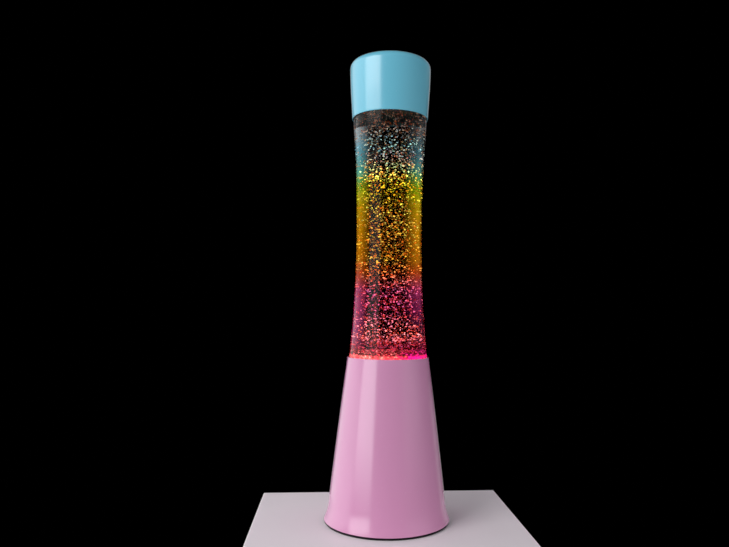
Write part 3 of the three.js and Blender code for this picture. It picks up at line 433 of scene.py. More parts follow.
def dressed(name, node, finish, bevel):
    """Copy of a solid with its loose triangles joined, its flat faces merged and its edges softened."""
    work = bmesh.new()
    work.from_mesh(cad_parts[node].data)
    bmesh.ops.remove_doubles(work, verts=work.verts, dist=1e-6)
    bmesh.ops.dissolve_limit(work, angle_limit=math.radians(1), verts=work.verts, edges=work.edges)
    mesh = bpy.data.meshes.new(name)
    work.to_mesh(mesh)
    work.free()
    soft = soften(finish_piece(name, mesh, finish, node, "base", SHARP_DEGREES), bevel, 2)
    soft.limit_method, soft.angle_limit = "ANGLE", math.radians(SHARP_DEGREES)


def soften(obj, width, segments):
    """Rounds an object's edges by a width in millimetres."""
    soft = obj.modifiers.new("soft_edges", "BEVEL")
    soft.width, soft.segments = width * MM, segments
    return soft


# Shader helpers. A socket knows its own tree, so a new node goes where its inputs come from.

def feed(inputs, values):
    """Gives each input a link or a plain value; a colour gets its alpha."""
    for key, value in values.items():
        if isinstance(value, bpy.types.NodeSocket):
            value.id_data.links.new(value, inputs[key])
        else:
            inputs[key].default_value = (*value, 1.0) if inputs[key].type == "RGBA" else value


def shade(shader, **values):
    """Feeds a shader's inputs by name, with _ for a space."""
    feed(shader, {key.replace("_", " "): value for key, value in values.items()})


def put(kind, sockets, **settings):
    """Node of a kind with its settings and its inputs, at least one of them linked."""
    source = next(value for value in sockets.values() if isinstance(value, bpy.types.NodeSocket))
    node = source.id_data.nodes.new(f"ShaderNode{kind}")
    for key, value in settings.items():
        setattr(node, key, value)
    feed(node.inputs, sockets)
    return node


def maths(operation, a, b=0.0, c=0.0):
    return put("Math", {0: a, 1: b, 2: c}, operation=operation).outputs[0]


def times(a, b):
    return maths("MULTIPLY", a, b)


def times_plus(a, b, c):
    return maths("MULTIPLY_ADD", a, b, c)


def blend(share, a, b, mode="MIX"):
    return put("Mix", {0: share, 6: a, 7: b}, data_type="RGBA", blend_type=mode).outputs[2]


def noise(place, scale, detail=3.0, roughness=0.5):
    return put("TexNoise", {"Vector": place, "Scale": scale, "Detail": detail,
                                      "Roughness": roughness}).outputs["Fac"]


def cells(place, scale, **settings):
    return put("TexVoronoi", {"Vector": place, "Scale": scale}, **settings).outputs


def axes(place):
    return put("SeparateXYZ", {0: place}).outputs


def span(value, low, high, to_low=0.0, to_high=1.0):
    return put("MapRange", {"Value": value, "From Min": low, "From Max": high,
                                      "To Min": to_low, "To Max": to_high}).outputs["Result"]


def ramp(share, stops):
    node = put("ValToRGB", {"Fac": share})
    elements = node.color_ramp.elements
    while len(elements) < len(stops):
        elements.new(1.0)
    for element, (position, *color) in zip(elements, stops):
        element.position = position
        element.color = (*color, 1.0)
    return node.outputs["Color"]


def mottled(share, low, high):
    """From one colour to another over the middle of a noise."""
    return ramp(share, [(0.3, *low), (0.7, *high)])


def bump(height, strength, distance):
    return put("Bump", {"Height": height, "Strength": strength,
                                  "Distance": distance}).outputs["Normal"]


def group(name, inputs, outputs):
    """Empty node group with named sockets, and its two ends."""
    tree = bpy.data.node_groups.new(name, "ShaderNodeTree")
    for side, sockets in (("INPUT", inputs), ("OUTPUT", outputs)):
        for label, kind in sockets.items():
            tree.interface.new_socket(label, in_out=side, socket_type=f"NodeSocket{kind}")
    return tree, tree.nodes.new("NodeGroupInput").outputs, tree.nodes.new("NodeGroupOutput").inputs


def use(shared, **sockets):
    """Places a shared effect with its own values, and returns what it puts out."""
    return put("Group", sockets, node_tree=shared).outputs


def material(name, **plain):
    """Material with its shader's plain sockets set; returns it, its shader's inputs and the place."""
    made = bpy.data.materials.new(name)
    made.use_nodes = True
    shader = made.node_tree.nodes["Principled BSDF"].inputs
    shade(shader, **plain)
    return made, shader, made.node_tree.nodes.new("ShaderNodeTexCoord").outputs["Object"]


# Shared effects

SKIN = {"Color": "Color", "Roughness": "Float", "Height": "Float"}
TINT_LOW, TINT_HIGH = 140.0, 400.0


def by_height(height, stops):
    """Colour ramp over a height in metres, from stops of a height in millimetres and a colour."""
    share = span(height, TINT_LOW * MM, TINT_HIGH * MM)
    return ramp(share, [((z - TINT_LOW) / (TINT_HIGH - TINT_LOW), *colour) for z, *colour in stops])


def make_height_tint():
    """Colour by height up the bottle: red and magenta at the foot, then orange, gold, olive, teal and
    blue, and nearly clear at the top. A slow noise shifts the height by up to two millimetres."""
    tree, ins, outs = group("height_tint", {"Place": "Vector"}, {"Color": "Color"})
    wander = span(noise(ins["Place"], 45.0, 1.0), 0.3, 0.7, -0.002, 0.002)
    feed(outs, {"Color": by_height(maths("ADD", axes(ins["Place"])["Z"], wander), [
        (143.5, 0.95, 0.22, 0.38),
        (151.0, 0.88, 0.17, 0.48),
        (160.0, 0.85, 0.17, 0.55),
        (180.0, 0.90, 0.19, 0.53),
        (199.0, 0.86, 0.18, 0.44),
        (214.0, 0.92, 0.31, 0.08),
        (225.0, 0.96, 0.52, 0.04),
        (243.0, 1.00, 0.60, 0.03),
        (264.0, 1.00, 0.69, 0.03),
        (280.0, 0.92, 0.82, 0.04),
        (289.0, 0.64, 0.80, 0.06),
        (294.0, 0.50, 0.80, 0.22),
        (300.0, 0.34, 0.82, 0.66),
        (313.0, 0.40, 0.80, 0.84),
        (327.0, 0.50, 0.82, 0.95),
        (334.0, 0.75, 0.82, 0.85)])})
    return tree


def make_paint_skin():
    """Sprayed paint: slow drift of tone, fine orange peel, and a few specks of dust."""
    tree, ins, outs = group("paint_skin", {"Place": "Vector", "Paint": "Color", "Shade": "Color"},
                            {**SKIN, "Coat": "Float"})
    place = ins["Place"]
    drift = span(noise(place, 14.0, 1.0), 0.15, 0.85)
    tone = times_plus(noise(place, 2600.0, 1.0), 0.12, drift)
    dust = span(cells(place, 170.0)["Distance"], 0.035, 0.075, 1.0, 0.0)
    colour = blend(times(tone, 0.30), ins["Paint"], ins["Shade"])
    peel = times_plus(noise(place, 70.0, 1.0), 0.8, noise(place, 520.0, 2.0, 0.45))
    feed(outs, {"Color": blend(times(dust, 0.10), colour, (0.9, 0.9, 0.9)),
                "Roughness": span(noise(place, 34.0, 4.0), 0.3, 0.7, 0.260, 0.271),
                "Height": times_plus(dust, 0.4, peel),
                "Coat": span(dust, 0.0, 1.0, 1.0, 0.75)})
    return tree


def make_metal_skin():
    """Bare or plated metal: cloudy plating, fine rolling lines along Z, small scratches."""
    tree, ins, outs = group("metal_skin", {"Place": "Vector", "Metal": "Color", "Dull": "Color"}, SKIN)
    cloud = span(noise(ins["Place"], 130.0, 4.0, 0.6), 0.3, 0.7)
    stretched = put("Mapping", {"Vector": ins["Place"], "Scale": (1.0, 1.0, 0.04)}).outputs[0]
    lines = noise(stretched, 2400.0, 2.0)
    scratches = span(noise(stretched, 700.0, 5.0, 0.75), 0.66, 0.72)
    rough = times_plus(lines, 0.14, span(cloud, 0.0, 1.0, 0.18, 0.34))
    feed(outs, {"Color": blend(times_plus(lines, 0.25, times(cloud, 0.5)), ins["Metal"], ins["Dull"]),
                "Roughness": times_plus(scratches, 0.12, rough),
                "Height": times_plus(scratches, -0.8, lines)})
    return tree


def make_moulded_skin():
    """Moulded rubber, plastic or fired ceramic: pebbled skin, flow marks and handling marks."""
    tree, ins, outs = group("moulded_skin", {"Place": "Vector", "Body": "Color", "Mark": "Color",
                                             "Grain": "Float"}, SKIN)
    flow = span(noise(ins["Place"], 90.0, 4.0, 0.6), 0.32, 0.68)
    pebble = cells(ins["Place"], ins["Grain"], feature="SMOOTH_F1")["Distance"]
    grit = noise(ins["Place"], 3000.0, 1.0)
    feed(outs, {"Color": blend(times_plus(grit, 0.25, times(flow, 0.55)), ins["Body"], ins["Mark"]),
                "Roughness": times_plus(flow, 0.16, times(pebble, 0.2)),
                "Height": times_plus(grit, 0.3, pebble)})
    return tree


height_tint = make_height_tint()
paint_skin = make_paint_skin()
metal_skin = make_metal_skin()
moulded_skin = make_moulded_skin()


# Finishes

def gloss_paint(name, paint, dark, gloss=0.04, peel=0.05, clear=1.6, under=0.5):
    made, shader, place = material(name, Coat_Roughness=gloss, Coat_IOR=clear, Specular_IOR_Level=under)
    skin = use(paint_skin, Place=place, Paint=paint, Shade=dark)
    shade(shader, Base_Color=skin["Color"], Roughness=skin["Roughness"], Coat_Weight=skin["Coat"],
          Normal=bump(skin["Height"], peel, 0.00006))
    return made


def metal(name, colour, dull, lift=0.0):
    made, shader, place = material(name, Metallic=1.0)
    skin = use(metal_skin, Place=place, Metal=colour, Dull=dull)
    shade(shader, Base_Color=skin["Color"], Roughness=maths("ADD", skin["Roughness"], lift),
          Normal=bump(skin["Height"], 0.12, 0.00005))
    return made


def moulded(name, body, mark, grain, rough, depth=0.15, **plain):
    made, shader, place = material(name, **plain)
    skin = use(moulded_skin, Place=place, Body=body, Mark=mark, Grain=grain)
    shade(shader, Base_Color=skin["Color"], Roughness=maths("ADD", skin["Roughness"], rough),
          Normal=bump(skin["Height"], depth, 0.0001))
    return made


def tinted_glass():
    """Clear bottle glass with a see-through coat whose colour changes with height."""
    made, shader, place = material("tinted_glass", IOR=1.46, Transmission_Weight=1.0, Roughness=0.0,
                                  Specular_Tint=(0.3, 0.3, 0.3))
    seeds = span(noise(place, 60.0), 0.3, 0.7, 0.0, 0.05)
    shade(shader, Base_Color=blend(seeds, use(height_tint, Place=place)["Color"], (1.0, 1.0, 1.0)),
          Normal=bump(noise(place, 28.0, 2.0), 0.04, 0.0006))
    return made


def clear_liquid():
    made, shader, place = material("clear_liquid", IOR=1.34, Transmission_Weight=1.0, Roughness=0.0)
    shade(shader, Base_Color=mottled(noise(place, 35.0, 2.0), (0.94, 0.98, 0.98), (1.0, 1.0, 1.0)))
    return made


def glitter_foil():
    """Foil flakes whose emission is painted light standing in for the bulb's warm light: each flake's own
    hue, paler where its painted glint is strong, multiplied by that glint and by a painted light level for
    each height, with a painted red glow added near the bed. The glass tints what is seen."""
    made, shader, place = material("glitter_foil", Metallic=0.85, Roughness=0.3, Emission_Strength=1.0)
    height = axes(place)["Z"]
    # Painted light: how much of the bulb's light each height gets, used as emission colour.
    reach = by_height(height, [
        (151.0, 0.50, 0.20, 0.20),
        (160.0, 2.40, 2.40, 0.90),
        (180.0, 1.15, 0.50, 0.52),
        (199.0, 1.10, 0.66, 0.72),
        (214.0, 1.50, 1.05, 0.63),
        (225.0, 1.16, 1.16, 0.84),
        (243.0, 1.00, 0.86, 1.00),
        (264.0, 1.02, 1.03, 1.80),
        (285.0, 1.15, 1.15, 0.55),
        (300.0, 5.40, 3.00, 1.25),
        (313.0, 1.40, 0.34, 0.33),
        (326.0, 0.87, 1.00, 0.90),
        (332.0, 0.70, 0.60, 0.55),
        (340.0, 0.24, 0.13, 0.09),
        (356.0, 0.15, 0.07, 0.045)])
    nodes = made.node_tree.nodes
    painted_glint, hue = nodes.new("ShaderNodeAttribute"), nodes.new("ShaderNodeAttribute")
    painted_glint.attribute_name, hue.attribute_name = "painted_glint", "hue"
    painted_glint = painted_glint.outputs["Fac"]
    own = ramp(hue.outputs["Fac"], [
        (0.00, 1.00, 0.66, 0.42),
        (0.18, 1.00, 0.42, 0.16),
        (0.34, 1.00, 0.20, 0.08),
        (0.46, 1.00, 0.55, 0.40),
        (0.58, 0.90, 0.85, 0.80),
        (0.72, 0.50, 0.70, 1.00),
        (0.86, 0.75, 0.90, 1.00),
        (1.00, 1.00, 0.85, 0.70)])
    # Painted highlight: a flake's colour turns paler where its painted glint is strong.
    own = blend(span(painted_glint, 0.8, 1.8, 0.0, 0.65), own, (0.80, 1.0, 0.95))
    painted_glow = blend(1.0, own, blend(1.0, reach, painted_glint, "MULTIPLY"), "MULTIPLY")
    # Painted red glow near the bed, added to the emission.
    painted_red_glow = ramp(span(height, 0.150, 0.178), [(0.0, 0.09, 0.003, 0.008), (1.0, 0.0, 0.0, 0.0)])
    shade(shader, Base_Color=own, Emission_Color=blend(1.0, painted_glow, painted_red_glow, "ADD"))
    return made


def glowing_bed():
    """Wet glitter lying on the floor of the bottle: every cell is a flake. Its emission is painted light
    standing in for the bulb's light from below: the sides get a painted glow, and on top only some of the
    flakes get a painted sparkle."""
    made, shader, place = material("glowing_bed", Roughness=0.35, Emission_Strength=1.0)
    cell = cells(place, 620.0)
    pick = put("SeparateColor", {"Color": cell["Color"]}).outputs
    slow = times_plus(noise(place, 90.0, 2.0), 0.5, span(axes(place)["X"], 0.004, 0.018, 0.42, -0.12))
    colour = ramp(times_plus(maths("POWER", pick["Red"], 2.0), 0.62, slow), [
        (0.20, 1.00, 0.05, 0.60),
        (0.42, 1.00, 0.07, 0.34),
        (0.62, 1.00, 0.13, 0.19),
        (0.85, 1.00, 0.30, 0.16),
        (0.98, 1.00, 0.85, 0.45)])
    # Painted glow: strong on the bed's sides and faint on its top, varied from flake to flake.
    low = span(axes(place)["Z"], (BED_TOP - 2.6) * MM, (BED_TOP - 1.4) * MM, 1.6, 0.03)
    painted_uneven_glow = times(low, span(pick["Blue"], 0.0, 1.0, 0.35, 1.25))
    # Painted sparkle on a few random flakes.
    painted_sparkle = times(maths("POWER", pick["Green"], 6.0), 2.2)
    dim = span(pick["Blue"], 0.0, 1.0, 0.03, 0.4)
    shade(shader, Base_Color=blend(1.0, colour, dim, "MULTIPLY"),
          Emission_Color=blend(1.0, colour, maths("ADD", painted_uneven_glow, painted_sparkle), "MULTIPLY"),
          Normal=bump(cell["Distance"], 0.6, 0.0004))
    return made


def bulb_envelope():
    """Reflector bulb: silvered to just past its widest place, frosted in front."""
    made, shader, place = material("bulb_envelope", Emission_Strength=0.9, Specular_IOR_Level=0.6)
    edge, soft = (BULB_FOOT + BULB_HEIGHT * SILVER_SHARE) * MM, 0.6 * MM
    front = span(axes(place)["Z"], edge - soft, edge + soft)
    frost = noise(place, 1800.0)
    silver = mottled(noise(place, 120.0, 4.0), (0.55, 0.57, 0.60), (0.74, 0.76, 0.78))
    white = mottled(frost, (0.80, 0.78, 0.74), (0.92, 0.90, 0.86))
    shade(shader, Base_Color=blend(front, silver, white), Metallic=maths("SUBTRACT", 1.0, front),
          Roughness=span(times_plus(frost, 0.15, front), 0.0, 1.0, 0.12, 0.5),
          Emission_Color=ramp(front, [(0.0, 0.0, 0.0, 0.0), (1.0, 1.0, 0.62, 0.28)]))
    return made


def clear_stem():
    made, shader, place = material("clear_stem", IOR=1.5, Transmission_Weight=1.0)
    shade(shader, Base_Color=mottled(noise(place, 200.0), (0.9, 0.95, 0.95), (1.0, 1.0, 1.0)),
          Roughness=span(noise(place, 400.0), 0.3, 0.7, 0.02, 0.08))
    return made


def hot_coil():
    made, shader, place = material("hot_coil", Metallic=1.0, Roughness=0.4, Emission_Strength=2.0)
    heat = noise(place, 700.0, 2.0)
    shade(shader, Base_Color=mottled(heat, (0.12, 0.11, 0.11), (0.2, 0.19, 0.18)),
          Emission_Color=mottled(heat, (1.0, 0.42, 0.1), (1.0, 0.6, 0.25)))
    return made


def striped_lead():
    """Green lead with slanting yellow stripes, where the sine of 1500 x + 520 y, in metres, is above
    about a quarter."""
    made, shader, place = material("striped_lead", Specular_IOR_Level=0.4)
    wave = maths("SINE", times_plus(axes(place)["X"], 1500.0, times(axes(place)["Y"], 520.0)))
    skin = use(moulded_skin, Place=place, Body=(0.10, 0.30, 0.05), Mark=(0.14, 0.36, 0.07), Grain=2000.0)
    shade(shader, Base_Color=blend(span(wave, 0.2, 0.35), skin["Color"], (0.75, 0.62, 0.04)),
          Roughness=maths("ADD", skin["Roughness"], 0.3))
    return made


pink = gloss_paint("pink_gloss_paint", (0.64, 0.285, 0.48), (0.58, 0.25, 0.43))
blue = gloss_paint("light_blue_gloss_paint", (0.156, 0.502, 0.655), (0.131, 0.457, 0.601))
black = gloss_paint("black_satin_paint", (0.005, 0.0045, 0.006), (0.009, 0.008, 0.010), 0.3, 0.12, 1.1, 0.15)
zinc = metal("zinc_plate", (0.42, 0.43, 0.45), (0.30, 0.31, 0.32), 0.05)
brass = metal("plain_brass", (0.62, 0.42, 0.15), (0.45, 0.28, 0.09))
nickel = metal("nickel_plate", (0.62, 0.60, 0.55), (0.47, 0.45, 0.41), -0.04)
tinplate = metal("gold_lacquered_tinplate", (0.72, 0.52, 0.20), (0.60, 0.41, 0.14), -0.03)
rubber = moulded("black_rubber", (0.012, 0.012, 0.013), (0.03, 0.03, 0.031), 1600.0, 0.55)
silicone = moulded("grey_silicone", (0.50, 0.50, 0.47), (0.60, 0.60, 0.57), 900.0, 0.45,
                   Subsurface_Weight=0.15)
foam = moulded("white_foam", (0.70, 0.69, 0.65), (0.82, 0.81, 0.77), 1100.0, 0.7, 0.7)
holder_white = moulded("white_holder_plastic", (0.74, 0.72, 0.66), (0.80, 0.78, 0.73), 1500.0, 0.25, 0.06)
ceramic = moulded("glazed_ceramic", (0.78, 0.76, 0.71), (0.84, 0.82, 0.78), 500.0, 0.12, 0.06,
                  Coat_Weight=0.5)
black_glass = moulded("black_glass", (0.010, 0.010, 0.012), (0.02, 0.02, 0.022), 400.0, 0.08, 0.05)
liner = moulded("sealing_disc", (0.42, 0.46, 0.45), (0.50, 0.53, 0.52), 1200.0, 0.5)
brown_lead = moulded("brown_lead", (0.13, 0.045, 0.015), (0.17, 0.06, 0.02), 2000.0, 0.3, 0.05)
blue_lead = moulded("blue_lead", (0.03, 0.12, 0.42), (0.04, 0.15, 0.50), 2000.0, 0.3, 0.05)
glass = tinted_glass()
liquid = clear_liquid()
foil = glitter_foil()
bed_glow = glowing_bed()
envelope = bulb_envelope()
stem_glass = clear_stem()
coil = hot_coil()
green_lead = striped_lead()


# The painted base

BOLTS = on_ring(BOLT_RING, 3, -math.pi / 2)


def shell_outer():
    """Outer side of the base: the flare's curve, then a straight cone that bows out by
    bow x (1 - (2 share - 1) squared)."""
    start, end = (FLARE_RADIUS, SHELL_FOOT), (CONE_FOOT, FLARE_TOP)
    handle = (CONE_FOOT + CONE_SLOPE * FLARE_HANDLE, FLARE_TOP - FLARE_HANDLE)
    share = np.linspace(0, 1, 61)[1:]
    z = FLARE_TOP + (RIM_TOP - RIM_ROUND - FLARE_TOP) * share
    r = CONE_FOOT - CONE_SLOPE * (z - FLARE_TOP) + CONE_BOW * (1 - (2 * share - 1) ** 2)
    return np.vstack([start, curve(start, start, handle, end, 30), np.stack([r, z], axis=1)])


def shell_radius(z):
    side = shell_outer()
    return np.interp(z, side[:, 1], side[:, 0])


def base_shell():
    """Spun wall with a rounded lower edge and rim, drilled at the rear for the cord's inlet."""
    outer = shell_outer()
    inner = outer - [SHELL_WALL, 0]
    crest = (outer[-1, 0] - RIM_ROUND, RIM_TOP)
    rim = rounded(outer[-1], crest, (outer[-1, 0], RIM_TOP), 6)
    bend = rounded(crest, inner[-1], (inner[-1, 0], RIM_TOP), 6)
    side = outer[outer[:, 1] > SHELL_FOOT + EDGE_ROUND]
    hem = rounded((FLARE_RADIUS - EDGE_ROUND, SHELL_FOOT), side[0], (FLARE_RADIUS, SHELL_FOOT), 6)
    wall = turned([hem, side[1:-1], rim, bend[1:-1], inner[::-1]], ROUND)
    within, beyond = 30, 60
    drill = moved(rod(INLET_RADIUS, within, beyond, 48), at(0, 0, INLET_HEIGHT) @ tilted(-math.pi / 2))
    shell = piece("painted_base", cut(wall, drill), pink, "base_shell")
    shell.data.materials.append(zinc)
    line_inside(shell.data.polygons)


def line_inside(faces):
    """Gives the faces of the inner wall the bare metal finish, but for the paint below the rim."""
    centre, normal = np.empty(len(faces) * 3), np.empty(len(faces) * 3)
    faces.foreach_get("center", centre)
    faces.foreach_get("normal", normal)
    centre, normal = centre.reshape(-1, 3), normal.reshape(-1, 3)
    inward = (centre[:, :2] * normal[:, :2]).sum(axis=1) < 0
    bare = inward & (centre[:, 2] < (RIM_TOP - RIM_PAINT) * MM)
    faces.foreach_set("material_index", bare.astype(np.int32))


def bottom_plate():
    """Dished plate whose outer edge is turned down into a hem that stands just clear of the floor."""
    slope_foot, hem = PLATE_RADIUS - PLATE_FLANGE, PLATE_RADIUS - HEM_WALL
    flange_top, edge = PLATE_FOOT + PLATE_WALL, 0.25
    dish = turned([
        [0, DISH_UNDER], [DISH_RADIUS - edge, DISH_UNDER], [DISH_RADIUS, DISH_UNDER - edge],
        [slope_foot, PLATE_FOOT], [hem, PLATE_FOOT], [hem, HEM_FOOT],
        [PLATE_RADIUS - edge, HEM_FOOT], [PLATE_RADIUS, HEM_FOOT + edge],
        [PLATE_RADIUS, flange_top - edge], [PLATE_RADIUS - edge, flange_top],
        [slope_foot + edge, flange_top], [DISH_RADIUS, PLATE_TOP], [0, PLATE_TOP]], ROUND)
    plate = drilled(
        dish, PLATE_FOOT, PLATE_TOP, (SCREW_RADIUS + GAP, BOLTS),
        (VENT_RADIUS, on_ring(VENT_RING, 8, math.pi / 8)), (RIVET_HOLE, pair(RIVET_SPREAD)),
        (PEG_HOLE, pair(PEG_SPREAD, PEG_Y)), (SCREW_RADIUS + GAP, [at(0, TAG_REACH)]))
    piece("black_bottom_plate", plate, black, "bottom_plate")


def rubber_feet():
    """Round pads with a rounded lower edge."""
    side, top = (FOOT_PAD, FOOT_ROUND), DISH_UNDER - GAP
    pad = turned([[0, 0], rounded((FOOT_PAD - FOOT_ROUND, 0), side, (FOOT_PAD, 0), 6),
                  [FOOT_PAD, top], [0, top]], SMALL)
    copies("soft_foot", pad, on_ring(FOOT_RING, 4, math.pi / 4), rubber, "rubber_foot")


def screw(length):
    """Pan head below nought with a slot across it, and a threaded shank above: its radius swings
    once for each pitch of height."""
    z = np.linspace(0, length, int(length / SCREW_PITCH) * 6 + 1)
    shank = thread(SCREW_RADIUS - 0.1, 0.2, SCREW_PITCH, z, 0, SMALL)
    head = rounded((0.6, -SCREW_HEAD_HEIGHT), (SCREW_HEAD, -0.4), (SCREW_HEAD, -SCREW_HEAD_HEIGHT), 8)
    radius = np.vstack([rows([0, *head[:, 0], SCREW_HEAD], SMALL), shank, rows([0], SMALL)])
    height = np.concatenate([[-SCREW_HEAD_HEIGHT], head[:, 1], [0], z, [length]])
    return cut(rings(radius, height), box(-4, 4, -SLOT, SLOT, -4, -SCREW_HEAD_HEIGHT / 2))


def plate_fixings():
    """A lug over each bolt hole and its screw, each screw turned further than the last."""
    shape = screw(SCREW_LENGTH)
    for i, bolt in enumerate(BOLTS, 1):
        dressed(f"welded_lug_{i}", f"plate_lug_{i}", zinc, 0.2)
        place = bolt @ at(0, 0, DISH_UNDER - GAP) @ tilted(0.7 * i, "Z")
        piece(f"pan_screw_{i}", moved(shape, place), zinc, f"plate_screw_{i}")


def seat():
    """Ring that carries the bottle, turned down at its hole and at its rim, and the pad on it."""
    under, end, soft = LEDGE_TOP - SEAT_WALL, LEDGE_TOP - SEAT_COLLAR, 0.4
    wide, low, high = (shell_radius(z) - SHELL_WALL - GAP for z in (LEDGE_TOP, end, under))
    inner, lip = SEAT_HOLE + SEAT_WALL, LEDGE_TOP - 3
    ring = turned([
        [SEAT_HOLE, lip], [inner, lip], [inner, under], [high - SEAT_WALL, under], [low - SEAT_WALL, end],
        [low, end], [wide, LEDGE_TOP - soft], [wide - soft, LEDGE_TOP],
        [SEAT_HOLE + soft, LEDGE_TOP], [SEAT_HOLE, LEDGE_TOP - soft]], ROUND)
    ring = drilled(ring, under, LEDGE_TOP, (AIR_HOLE, on_ring(wide - 2.8, 8, math.pi / 8)))
    piece("pressed_seat", ring, zinc, "seat_ring")
    bore, rim, top, groove = 25.6, 31.0, PAD_FOOT + PAD_WALL, PAD_FOOT + PAD_WALL - 0.3
    pad = [[bore, PAD_FOOT], [rim, PAD_FOOT], [rim, top - soft], [rim - soft, top],
           [29.2, top], [28.8, groove], [27.8, groove], [27.4, top],
           [bore + soft, top], [bore, top - soft]]
    piece("soft_seat_pad", turned(pad, ROUND), silicone, "seat_pad")


def cord_grommet():
    """Rubber ring with a lip on both sides of the wall: one half of the profile and its mirror image."""
    lip, bore, flange, soft = 1.6, 3.2, 6.6, 0.6
    half = SHELL_WALL / 2 + GAP + flange ** 2 / (2 * CONE_FOOT)
    outer = rounded((flange, half), (flange - 1.2, half + lip), (flange, half + lip), 8)
    mouth = rounded((bore + soft, half + lip), (bore, half + lip - soft), (bore, half + lip), 6)
    top = np.vstack([[INLET_RADIUS - GAP, half], outer, mouth])
    shape = turned([top[::-1] * [1, -1], top], 64)
    place = at(0, shell_radius(INLET_HEIGHT) - SHELL_WALL / 2, INLET_HEIGHT)
    piece("cord_inlet_grommet", moved(shape, place @ tilted(math.atan(CONE_SLOPE) - math.pi / 2)),
          rubber, "cord_grommet")


# The lampholder on its bracket

def holder():
    """The bracket and all that it carries."""
    dressed("pressed_bracket", "holder_bracket", zinc, 0.25)
    rivets()
    nipple()
    dressed("hex_nut", "nipple_nut", zinc, 0.3)
    cup_and_skirt()
    dressed("ceramic_core", "holder_core", ceramic, 0.25)
    dressed("sprung_contact", "centre_contact", brass, 0.08)
    flat = math.sqrt(CORE_RADIUS ** 2 - 8.0 ** 2)
    places = [place @ tilted(-math.pi / 2)
              for place in pair(LEAD_HOLE_SPREAD, SCREW_HEAD_HEIGHT - flat, CORE_FOOT + 8.7)]
    copies("brass_screw", screw(SCREW_LENGTH), places, brass, "holder_screw")
    thread_sleeve()


def nipple():
    """Short tube with a fine thread outside and a plain bore."""
    z, sides = np.linspace(NIPPLE_FOOT, NIPPLE_TOP, 93), 48
    ridge = thread(NIPPLE_RADIUS - 0.2, 0.4, 1.0, z, 0, sides)
    radius = np.vstack([ridge, rows([NIPPLE_RADIUS - 1] * 2, sides)])
    shape = rings(radius, [*z, NIPPLE_TOP, NIPPLE_FOOT])
    piece("threaded_tube", shape, zinc, "threaded_nipple")


def thread_sleeve():
    """Sleeve that the bulb screws into: threaded inside with a plain foot, and plain outside."""
    bore, foot = THREAD_RADIUS + 0.4, CORE_TOP + GAP
    radius, height = bulb_thread(bore, THREAD_FOOT - 1, THREAD_TOP - 1)
    plain = bore + THREAD_DEPTH / 2
    radius = np.vstack([radius[::-1], rows([plain, plain, plain + 0.5, plain + 0.5], THREAD_SIDES)])
    height = [*height[::-1], THREAD_FOOT - 2, foot, foot, THREAD_TOP - 1]
    piece("threaded_sleeve", rings(radius, height), brass, "thread_sleeve")


def rivets():
    """Rivets through the bracket and the plate, with a rounded head at each end, the lower flatter."""
    wide, shank, rise = 2.9, 1.5, 1.1
    tail, head = DISH_UNDER - GAP, PLATE_TOP + GAP + BRACKET_WALL + GAP
    rivet = turned([
        [0, tail - rise], rounded((1.4, tail - rise), (wide, tail), (wide, tail - rise), 5),
        [shank, tail], [shank, head],
        rounded((wide, head), (0.8, head + rise), (wide, head + rise), 6), [0, head + rise]], SMALL)
    copies("domed_rivet", rivet, pair(RIVET_SPREAD), zinc, "bracket_rivet")


def ribs(low, high, count):
    """Shallow grip grooves round the outside: the radius dips by a quarter millimetre x cosine cubed."""
    z = np.linspace(low, high, count * 12 + 1)
    dip = 0.25 * np.clip(np.cos((z - low) / (high - low) * count * 2 * math.pi), 0, 1) ** 3
    dip[[0, -1]] = 0
    return np.stack([HOLDER_RADIUS - dip, z], axis=1)


def cup_and_skirt():
    """The holder's white body: a cup with a rounded foot, and a skirt above it, both with grip ribs."""
    wide, inner, hole = HOLDER_RADIUS, HOLDER_RADIUS - HOLDER_WALL, NIPPLE_RADIUS + GAP
    cup = [
        [hole, CUP_FOOT], rounded((wide - 2.4, CUP_FOOT), (wide, CUP_FOOT + 2.4), (wide, CUP_FOOT)),
        ribs(CUP_FOOT + 8.0, CUP_TOP - 1.5, 4),
        [wide, CUP_TOP - 0.3], [wide - 0.3, CUP_TOP], [inner, CUP_TOP], [inner, CUP_STEP],
        [10, CUP_STEP], [10, CUP_FOOT + 3], [hole, CUP_FOOT + 3]]
    piece("moulded_holder_cup", turned(cup), holder_white, "holder_cup")
    lip, shoulder = SKIRT_TOP - 1.5, SKIRT_FOOT + 11.4
    skirt = [
        [inner, SKIRT_FOOT], [wide - 0.3, SKIRT_FOOT], [wide, SKIRT_FOOT + 0.3],
        ribs(SKIRT_FOOT + 1.5, SKIRT_FOOT + 10.5, 6),
        rounded((wide, lip), (wide - 1.5, SKIRT_TOP), (wide, SKIRT_TOP), 6),
        rounded((10.4, SKIRT_TOP), (9.0, lip), (9.2, SKIRT_TOP), 5),
        [8.7, lip], [8.7, shoulder], [inner, shoulder]]
    piece("moulded_holder_skirt", turned(skirt), holder_white, "holder_skirt")


# The bulb

def bulb():
    wide = (2.4, TIP_FOOT + 0.9)
    tip = [[0, TIP_FOOT], rounded((0.8, TIP_FOOT), wide, (2.4, TIP_FOOT)), [2.4, TIP_TOP], [0, TIP_TOP]]
    piece("solder_tip", turned(tip, SMALL), nickel, "bulb_tip", "bulb_contact")
    low, top = INSULATOR_FOOT, BULB_BASE_FOOT - GAP
    cone = [[0, low], [2.8, low], [3.2, low + 0.4], [5.3, top - 0.3], [5.3, top], [0, top]]
    piece("black_insulator", turned(cone, SMALL), black_glass, "bulb_insulator", "bulb")
    bulb_base()
    bulb_glass()
    stem_and_coil()


